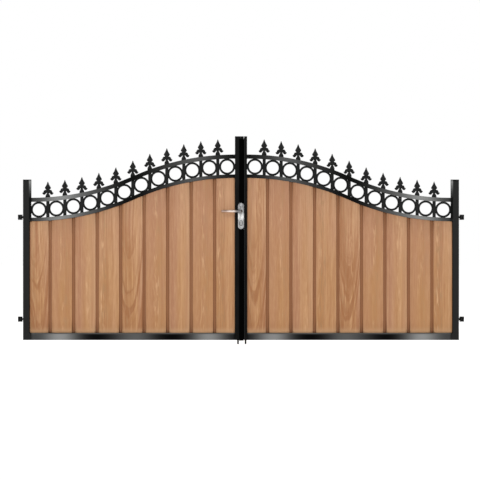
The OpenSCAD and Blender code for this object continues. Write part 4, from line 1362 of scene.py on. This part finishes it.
@dataclass
class Boards(LeafPart):
    """Upright boards of a leaf: crowned faces, round arrises, open grooves and tongues."""

    cuts: tuple[Cut, ...] = (
        Cut.FLAMED, Cut.CALM, Cut.SALMON, Cut.AMBER, Cut.FLAMED, Cut.CALM, Cut.SALMON, Cut.CALM,
        Cut.AMBER,
    )
    low_edge: float = 0.130
    high_edge: float = 0.13925
    groove: float = 0.020
    front: float = -0.015
    thick: float = 0.018
    groove_deep: float = 0.006
    tongue: float = 0.005
    tongue_long: float = 0.008
    arris: float = 0.0024
    crown: float = 0.0005
    fit: float = 0.0005
    slack: float = 0.2 * MM
    snug: float = 0.02 * MM
    rebated: float = 0.0089
    foot: float = 0.0785
    under: float = 0.0245
    rows: int = 6
    seed: int = 41

    def edges(self) -> tuple[Array, Array]:
        """Edges of the boards' faces, with even grooves between them.

        Returns:
            Left edges and right edges, each along x.
        """
        first, last = self.neck.x0 + self.low_edge, self.neck.x1 - self.high_edge
        middles = np.linspace(first, last, len(self.cuts) - 1)
        left = np.append(self.neck.x0 - self.rebated, middles + self.groove / 2)
        return left, np.append(middles - self.groove / 2, self.neck.x1 - self.snug)

    def outline(self) -> tuple[Array, Array]:
        """Plan of every board, and where it counts as groove.

        Returns:
            Points of shape boards, section points, 2, and the mark for each section point: 1
            in the groove and on its walls, and 0 on the faces.
        """
        left, right = self.edges()
        number = np.arange(len(self.cuts))
        has_next, has_last = number < number[-1], number > 0
        back, floor = self.front + self.thick, self.front + self.groove_deep
        under, set_back = floor + self.tongue, self.front + self.crown
        reach = right + has_next * (self.groove + self.tongue_long)
        shoulder = right + has_next * (self.groove - self.fit)
        slot = left + has_last * (self.tongue_long + MM)
        wall = (set_back + self.arris + floor) / 2
        quarter = np.linspace(0, QUARTER_TURN, 4)[1:]
        round_x, round_y = self.arris * (1 - np.sin(quarter)), self.arris * (1 - np.cos(quarter))
        columns: list[tuple[Array, float, float]] = [
            (left + self.arris + (right - left - 2 * self.arris) * part,
             self.front + self.crown * (2 * part - 1) ** 2, 0.0) for part in np.linspace(0, 1, 9)
        ]
        columns += [(right - dx, set_back + dy, 0.0) for dx, dy in zip(round_x, round_y)]
        columns += [
            (right, wall, 0.85), (right, floor, 1.0),
            (right + has_next * self.groove * 0.5, floor, 0.8), (reach, floor, 1.0),
            (reach, under, 1.0), (shoulder, under, 0.0), (shoulder, back, 0.0), (left, back, 0.0),
            (left, under + self.slack, 0.0), (slot, under + self.slack, 0.0),
            (slot, floor - self.slack, 0.0), (left, floor - self.slack, 1.0), (left, wall, 0.85),
        ]
        columns += [(left + dx, set_back + dy, 0.0) for dx, dy in zip(round_x[::-1], round_y[::-1])]
        x = np.stack([column[0] for column in columns], -1)
        y = np.broadcast_to([column[1] for column in columns], x.shape)
        return np.stack([x, y], -1), np.array([column[2] for column in columns])

    def build(self) -> None:
        """Makes the boards.

        Every point's height is the foot plus a share of the way to the mid rail above it. The
        boards' order is that of the left leaf from its hinges, and both leaves show it from
        left to right. Each board's grain starts at its own place, drawn once from a seeded
        generator.
        """
        plan, groove = self.outline()
        top = self.neck.height(plan[..., 0], self.neck.drop, self.under)
        part = np.linspace(0, 1, self.rows)[None, :, None]
        z = self.foot + (top[:, None, :] - self.foot) * part
        flat = np.broadcast_to(plan[:, None], (*z.shape, 2))
        rings = np.concatenate([flat, z[..., None]], -1)
        random = np.random.default_rng(self.seed + self.side.value)
        shift = random.uniform(0, 5, len(self.cuts))[:, None, None]
        left, right = self.edges()
        share = ((plan[..., 0] - left[:, None]) / (right - left)[:, None])[:, None, :]
        cuts = self.cuts
        if self.side is Side.RIGHT:
            share, cuts = 1 - share, cuts[::-1]
        grains = [asdict(cut.value) for cut in cuts]
        marks = {
            name: np.array([grain[name] for grain in grains])[:, None, None] for name in grains[0]
        }
        shell = Shell().add_tubes(
            self.side.place(rings), share=share, shift=shift, groove=groove[None, None, :], **marks)
        self.put(shell, "boards", "_sawn", "oiled_boards", "timber")


@dataclass
class FrameWelds(LeafPart):
    """Weld beads where a leaf's rails meet its stiles."""

    deep: float = 0.040
    bead: float = 1.9 * MM
    less_tall: float = 4 * MM
    less_deep: float = 5 * MM
    corner: float = 2.6 * MM

    def loop(self, x: float, middle: float, tall: float, deep: float) -> Array:
        """A rippled bead carried round a rail's end.

        Args:
            x: place of the end.
            middle: height of the rail's middle there.
            tall: height of the rail's section.
            deep: its depth.

        Returns:
            The bead's points.
        """
        line = divided(rounded_rectangle(deep, tall, self.corner), 6)
        out = np.insert(line, 0, 0.0, axis=1)
        path = out + np.array([x, 0.0, middle])
        out /= np.linalg.norm(out, axis=1, keepdims=True)
        ripple = 1 + 0.14 * np.sin(np.arange(len(line)) * 1.9)
        return sweep(path, out, X_AXIS, circle(self.bead, 7)[None] * ripple[:, None, None])[None]

    def build(self) -> None:
        """Makes a bead at both ends of the curved rails and the bottom rail."""
        neck = self.neck
        low, high = box_of(self.side.named("bottom_rail"))
        size, middle = high - low, (low + high) / 2
        loops = [
            (x, level - drop - neck.thick / 2, neck.thick, self.deep)
            for x, level in ((neck.x0, neck.low), (neck.x1, neck.high))
            for drop in (0.0, neck.drop)
        ] + [
            (x, middle[2], size[2] - self.less_tall, size[1] - self.less_deep)
            for x in (neck.x0, neck.x1)
        ]
        shell = Shell()
        for loop in loops:
            shell.add_tubes(self.side.place(self.loop(*loop)), looped=True)
        self.put(shell, "frame_welds", "", "infill_coat", "steel_frame")


# Handle, lock and hardware


@dataclass
class Lever(Part):
    """A round lever: a neck out of its plate, a quarter bend and a grip with a round end."""

    node: str
    facing: float
    plate_y: float
    out: float = 0.022
    let_in: float = 1.8 * MM
    height: float = LEVER_HEIGHT
    radius: float = 0.0095
    neck_radius: float = 0.0088
    bend: float = 0.012
    long: float = 0.135
    end: float = 0.006

    def build(self) -> None:
        """Makes the lever: a circle carried along the neck, the bend and the grip.

        Its radius swells from the neck to the grip, eases off towards the tip, and ends in a
        quarter of an ellipse.
        """
        grip = self.plate_y + self.facing * self.out
        turn_y = grip - self.facing * self.bend
        angle = np.linspace(0, QUARTER_TURN, 10)[1:]
        run = np.linspace(-self.bend, -self.long + self.end, 14)[1:]
        dome = np.linspace(0, QUARTER_TURN, 7)[1:]
        x = np.concatenate([
            np.zeros(5), -self.bend * (1 - np.cos(angle)), run,
            -self.long + self.end * (1 - np.sin(dome))])
        y = np.concatenate([
            np.linspace(self.plate_y - self.facing * self.let_in, turn_y, 5),
            turn_y + self.facing * self.bend * np.sin(angle), np.full(len(run) + len(dome), grip)])
        path = np.stack([x, y, np.full_like(x, self.height)], -1)
        ease = np.interp(run, [-self.long, -0.1, -0.05, -self.bend], [0.84, 0.9, 1.0, 1.0])
        size = np.concatenate([
            np.full(5, self.neck_radius), np.linspace(self.neck_radius, self.radius, 9),
            self.radius * ease, self.radius * ease[-1] * np.maximum(np.cos(dome), 0.04)])
        across = np.cross(Z_AXIS, directions(path))
        rings = sweep(path, across, Z_AXIS, circle(1.0, 28)[None] * size[:, None, None])
        add_piece(Shell().add_tubes(rings[None]), f"{self.node}_round", self.paints["lever_steel"],
                  "lever_set", (self.node,))


@dataclass
class PlateTrim(Part):
    """Two like rings on the handle plates: the lever's collars, or the key's shadow rings."""

    name: str
    paint: str
    slot: str
    outline: Array
    height: float
    half_wide: float
    half_tall: float
    depths: tuple[float, float]

    @classmethod
    def collars(cls, paints: Paints) -> "PlateTrim":
        """Round collars that the levers turn in.

        Args:
            paints: the materials.

        Returns:
            The collars.
        """
        inner, outer, proud, edge = 0.0101, 0.0142, 2.2 * MM, 0.9 * MM
        middle = (inner + outer) / 2
        return cls(
            paints, "handle_collars", "stainless", "stainless",
            outline=rounded_rectangle(outer - inner, proud, edge), height=LEVER_HEIGHT,
            half_wide=middle, half_tall=middle,
            depths=(PLATE_FRONT - proud / 2, PLATE_REAR + proud / 2))

    @classmethod
    def gaskets(cls, paints: Paints) -> "PlateTrim":
        """Black rubber rings round the key's cylinder, standing in for the shadow line round it.

        Args:
            paints: the materials.

        Returns:
            The rings.
        """
        bead, proud = 1.2 * MM, 0.2 * MM
        return cls(
            paints, "key_gaskets", "strip_rubber", "strip_rubber",
            outline=circle(bead, 8), height=0.831, half_wide=0.0098, half_tall=0.0178,
            depths=(PLATE_FRONT - proud, PLATE_REAR + proud))

    def build(self) -> None:
        """Makes both rings: the outline carried round an upright ellipse."""
        out, shell = spokes(48), Shell()
        for y in self.depths:
            path = out * [self.half_wide, 0.0, self.half_tall] + np.array([0.0, y, self.height])
            shell.add_tubes(sweep(path, out, Y_AXIS, self.outline)[None], looped=True)
        add_piece(shell, self.name, self.paints[self.paint], "left_leaf")


@dataclass
class LatchSpring(Part):
    """The coil spring behind the latch bolt."""

    turns: int = 7
    wire: float = 0.6 * MM
    travel: float = 0.0102

    def build(self) -> None:
        """Makes the spring: a small circle carried along a helix, with the wire's own axes."""
        low, high = box_of("latch_spring")
        size, middle = high - low, (low + high) / 2
        share = np.linspace(0, 1, self.turns * 20 + 1)
        angle = 2 * math.pi * self.turns * share
        out = np.stack([np.zeros_like(angle), np.cos(angle), np.sin(angle)], -1)
        path = middle + out * (size[1] / 2 - self.wire)
        path[:, 0] = low[0] + self.wire + (size[0] - 2 * self.wire) * share
        rings = sweep(path, out, np.cross(directions(path), out), circle(self.wire, 10))
        spring = add_piece(Shell().add_tubes(rings[None]), "latch_spring_coil",
                           self.paints["bright_zinc"], "left_leaf", ("latch_spring",))
        keep = 1.0 - self.travel / size[0]
        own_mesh(spring)


@dataclass
class GapLips(Part):
    """Thin rubber lips that shut the meeting gap, so no light shows through it.

    Above and below the lock the left lip meets the seal, and its foot reaches under the seal.
    Beside the lock plates it reaches further, and a thin length on the right leaf takes the
    seal's place there.
    """

    stile_x: float = 0.0184
    seal_x: float = 0.0195
    lock_x: float = 0.02065
    keep_x: float = 0.02073
    right_x: float = 0.0216
    foot_x: float = 0.0213
    front: float = 0.013
    back: float = 0.019
    foot_low: float = 0.0303
    foot: float = 0.034
    lock_low: float = 0.784
    lock_high: float = 0.972
    top: float = 1.405
    foot_gap: float = 0.2 * MM
    lock_gap: float = 0.5 * MM
    corner: float = 0.3 * MM

    def build(self) -> None:
        """Makes the lengths: upright strips with round edges."""
        left = (
            (self.stile_x, self.foot_x, self.foot_low, self.foot - self.foot_gap),
            (self.stile_x, self.seal_x, self.foot, self.lock_low),
            (self.stile_x, self.lock_x, self.lock_low + self.lock_gap,
             self.lock_high - self.lock_gap),
            (self.stile_x, self.seal_x, self.lock_high, self.top),
        )
        right = ((self.keep_x, self.right_x, self.lock_low, self.lock_high),)
        for side, lengths in ((Side.LEFT, left), (Side.RIGHT, right)):
            shell = Shell()
            for x0, x1, z0, z1 in lengths:
                ends = np.array([x0, self.front, z0]), np.array([x1, self.back, z1])
                shell.add_tubes(box_bar(*ends, 2, self.corner, steps=2))
            add_piece(shell, side.named("gap_lip"), self.paints["strip_rubber"], side.body)


@dataclass
class Hardware(Part):
    """Small CAD pieces: rounded copies where an edge shows, and paint on the rest."""

    hinge_x: float = 1.510
    hinge_y: float = 0.011
    bore: float = 0.0105
    ear_taller: float = 0.0016
    ear_longer: float = 0.0015
    ear_edge: float = 0.7 * MM

    def build(self) -> None:
        """Makes the rounded copies and the brackets, and paints the rest."""
        self.rounded()
        self.brackets()
        self.painted()

    def rounded(self) -> None:
        """Makes rounded copies of the pieces whose edges catch the light."""
        for nodes, width, paint, slot in (
            (("left_lock_stile", "right_meeting_stile"), 1.5, "centre_coat", "steel_frame"),
            (both("stile_caps"), 1.4, "cap_plastic", "cap_plastic"),
            (("hinge_pins",), 0.7, "hinge_coat", "hinge_steel"),
            (both("eye_bolts"), 1.0, "hinge_coat", "hinge_steel"),
            (("cover_strip",), 1.1, "strip_rubber", "strip_rubber"),
            (("front_handle_plate", "rear_handle_plate"), 1.8, "plate_steel", "stainless"),
            (both("bolt_guides"), 0.9, "rod_coat", "rod_steel"),
            (both("board_strap"), 0.8, "frame_coat", "steel_frame"),
            (("lock_forend",), 0.25, "stainless", "stainless"),
            (("deadbolt",), 0.8, "stainless", "stainless"),
        ):
            for node in nodes:
                rounded_copy(node, width * MM, self.paints[paint])

    def brackets(self) -> None:
        """Makes the hinge brackets a little fuller than the bare CAD ones, as cast and coated.

        The outer faces of each pair of ears move up and down, and the ears' round ends move
        towards the stile.
        """
        for node in both("hinge_brackets"):
            piece = rounded_copy(node, self.ear_edge, self.paints["hinge_coat"])
            flat = np.empty(3 * len(piece.data.vertices))
            piece.data.vertices.foreach_get("co", flat)
            points = flat.reshape(-1, 3)
            upper = points[:, 2] > (points[:, 2].min() + points[:, 2].max()) / 2
            for group in (upper, ~upper):
                z = points[group, 2]
                from_middle = z - (z.min() + z.max()) / 2
                outer = np.abs(from_middle) > np.abs(from_middle).max() - 0.1 * MM
                points[group, 2] += np.sign(from_middle) * outer * self.ear_taller
            across = np.abs(points[:, 0]) - self.hinge_x
            round_end = (across < 0) & (np.hypot(across, points[:, 1] - self.hinge_y) > self.bore)
            points[:, 0] -= np.sign(points[:, 0]) * round_end * self.ear_longer
            piece.data.vertices.foreach_set("co", points.ravel())

    def painted(self) -> None:
        """Paints the CAD pieces that stay as they are."""
        for paint, nodes in (
            ("hinge_coat", both("hinge_sleeves")),
            ("rod_coat", both("drop_bolt")),
            ("strip_rubber", ("gap_seal",)),
            ("bright_zinc", ("handle_plate_bolts", *both("board_screws"), "lock_case",
                             "forend_screws", "cylinder_screw", "keep_screws", "keep_plate",
                             "spindle")),
            ("stainless", ("cylinder_body", "cylinder_plug")),
            ("drawn_brass", ("lock_follower", "latch_bolt")),
        ):
            for node in nodes:
                paint_node(node, self.paints[paint])


# Studio


@dataclass
class Studio:
    """Plain pale floor, white surroundings, soft lights and the photograph's camera."""

    view_width: float = 3.283
    view_x: float = -0.0068
    view_z: float = 0.714
    distance: float = 20.0
    sensor: float = 36.0
    front: float = -0.02
    daylight: float = 0.48
    floor_half: float = 60.0
    floor_light: float = 0.62
    lamp_tall: float = 2.4

    def floor(self) -> None:
        """A wide pale floor under the drop bolts."""
        half, mesh = self.floor_half, bpy.data.meshes.new("floor")
        corners_of = [(-half, -half, 0), (half, -half, 0), (half, half, 0), (-half, half, 0)]
        mesh.from_pydata(corners_of, [], [(0, 1, 2, 3)])
        floor = linked("floor", mesh)
        mesh.materials.append(Bench("pale_floor").finish(
            Base_Color=(0.9, 0.9, 0.9), Roughness=0.9, Emission_Color=(1.0, 1.0, 1.0),
            Emission_Strength=self.floor_light))
        floor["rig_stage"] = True

    def surroundings(self) -> None:
        """A world that is white to the eye and softer as a light."""
        world = bpy.data.worlds.new("studio")
        bpy.context.scene.world = world
        world.use_nodes = True
        nodes, links = world.node_tree.nodes, world.node_tree.links
        nodes.clear()
        mix, path = nodes.new("ShaderNodeMixShader"), nodes.new("ShaderNodeLightPath")
        links.new(path.outputs["Is Camera Ray"], mix.inputs[0])
        for socket, strength, colour in (
            (1, self.daylight, (1.0, 0.99, 0.975, 1)), (2, 1.0, (1, 1, 1, 1))
        ):
            light = nodes.new("ShaderNodeBackground")
            light.inputs["Strength"].default_value = strength
            light.inputs["Color"].default_value = colour
            links.new(light.outputs[0], mix.inputs[socket])
        links.new(mix.outputs[0], nodes.new("ShaderNodeOutputWorld").inputs["Surface"])

    def lamp(self, name: str, place: Place, target: Place, wide: float, power: float) -> None:
        """Adds a soft box.

        Args:
            name: its name.
            place: where it stands.
            target: the place that it faces.
            wide: its width.
            power: its power in watts.
        """
        data = bpy.data.lights.new(name, "AREA")
        data.shape = "RECTANGLE"
        data.size, data.size_y, data.energy = wide, self.lamp_tall, power
        lamp = linked(name, data)
        lamp.location = place
        lamp.rotation_euler = (Vector(target) - Vector(place)).to_track_quat("-Z", "Y").to_euler()

    def camera(self) -> None:
        """A long lens square to the gate, framed as the photograph is."""
        data = bpy.data.cameras.new("camera")
        data.sensor_width = self.sensor
        data.lens = self.sensor * (self.distance + self.front) / self.view_width
        data.clip_end = 200.0
        camera = linked("camera", data)
        camera.location = (self.view_x, -self.distance, self.view_z)
        camera.rotation_euler = (QUARTER_TURN, 0, 0)
        bpy.context.scene.camera = camera

    def build(self) -> None:
        """Sets up the floor, the light and the camera."""
        bpy.context.scene.view_settings.view_transform = "Standard"
        self.floor()
        self.surroundings()
        self.lamp("key", place=(-2.6, -5.0, 4.2), target=(-0.3, 0, 0.7), wide=3.6, power=154.0)
        self.lamp("fill", place=(3.4, -4.6, 2.2), target=(0.4, 0, 0.7), wide=2.4, power=60.0)
        self.lamp("rear", place=(1.5, 5.5, 3.8), target=(0, 0, 0.7), wide=3.6, power=134.0)
        self.camera()


def corners() -> list[list[float]]:
    """Lowest and highest corner of what shows, as plain numbers."""
    return [list(point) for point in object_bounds()]


def main() -> None:
    """Builds the studio and every piece."""
    logging.basicConfig(level=logging.INFO, format="%(name)s: %(message)s", stream=sys.stdout)
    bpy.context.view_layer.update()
    Studio().build()
    paints, neck = mix_paints(), SwanNeck()
    parts: list[Part] = []
    for side in Side:
        own = (paints, side, neck)
        row = RingRow(*own)
        parts += [CurvedRails(*own), StraightFrame(*own), row, Finials(paints, row), Boards(*own),
                  FrameWelds(*own)]
    parts += [
        Lever(paints, "front_lever", facing=-1.0, plate_y=PLATE_FRONT),
        Lever(paints, "rear_lever", facing=1.0, plate_y=PLATE_REAR),
        PlateTrim.collars(paints), PlateTrim.gaskets(paints), LatchSpring(paints),
        GapLips(paints), Hardware(paints),
    ]
    for part in parts:
        part.build()


if __name__ == "__main__":
    main()
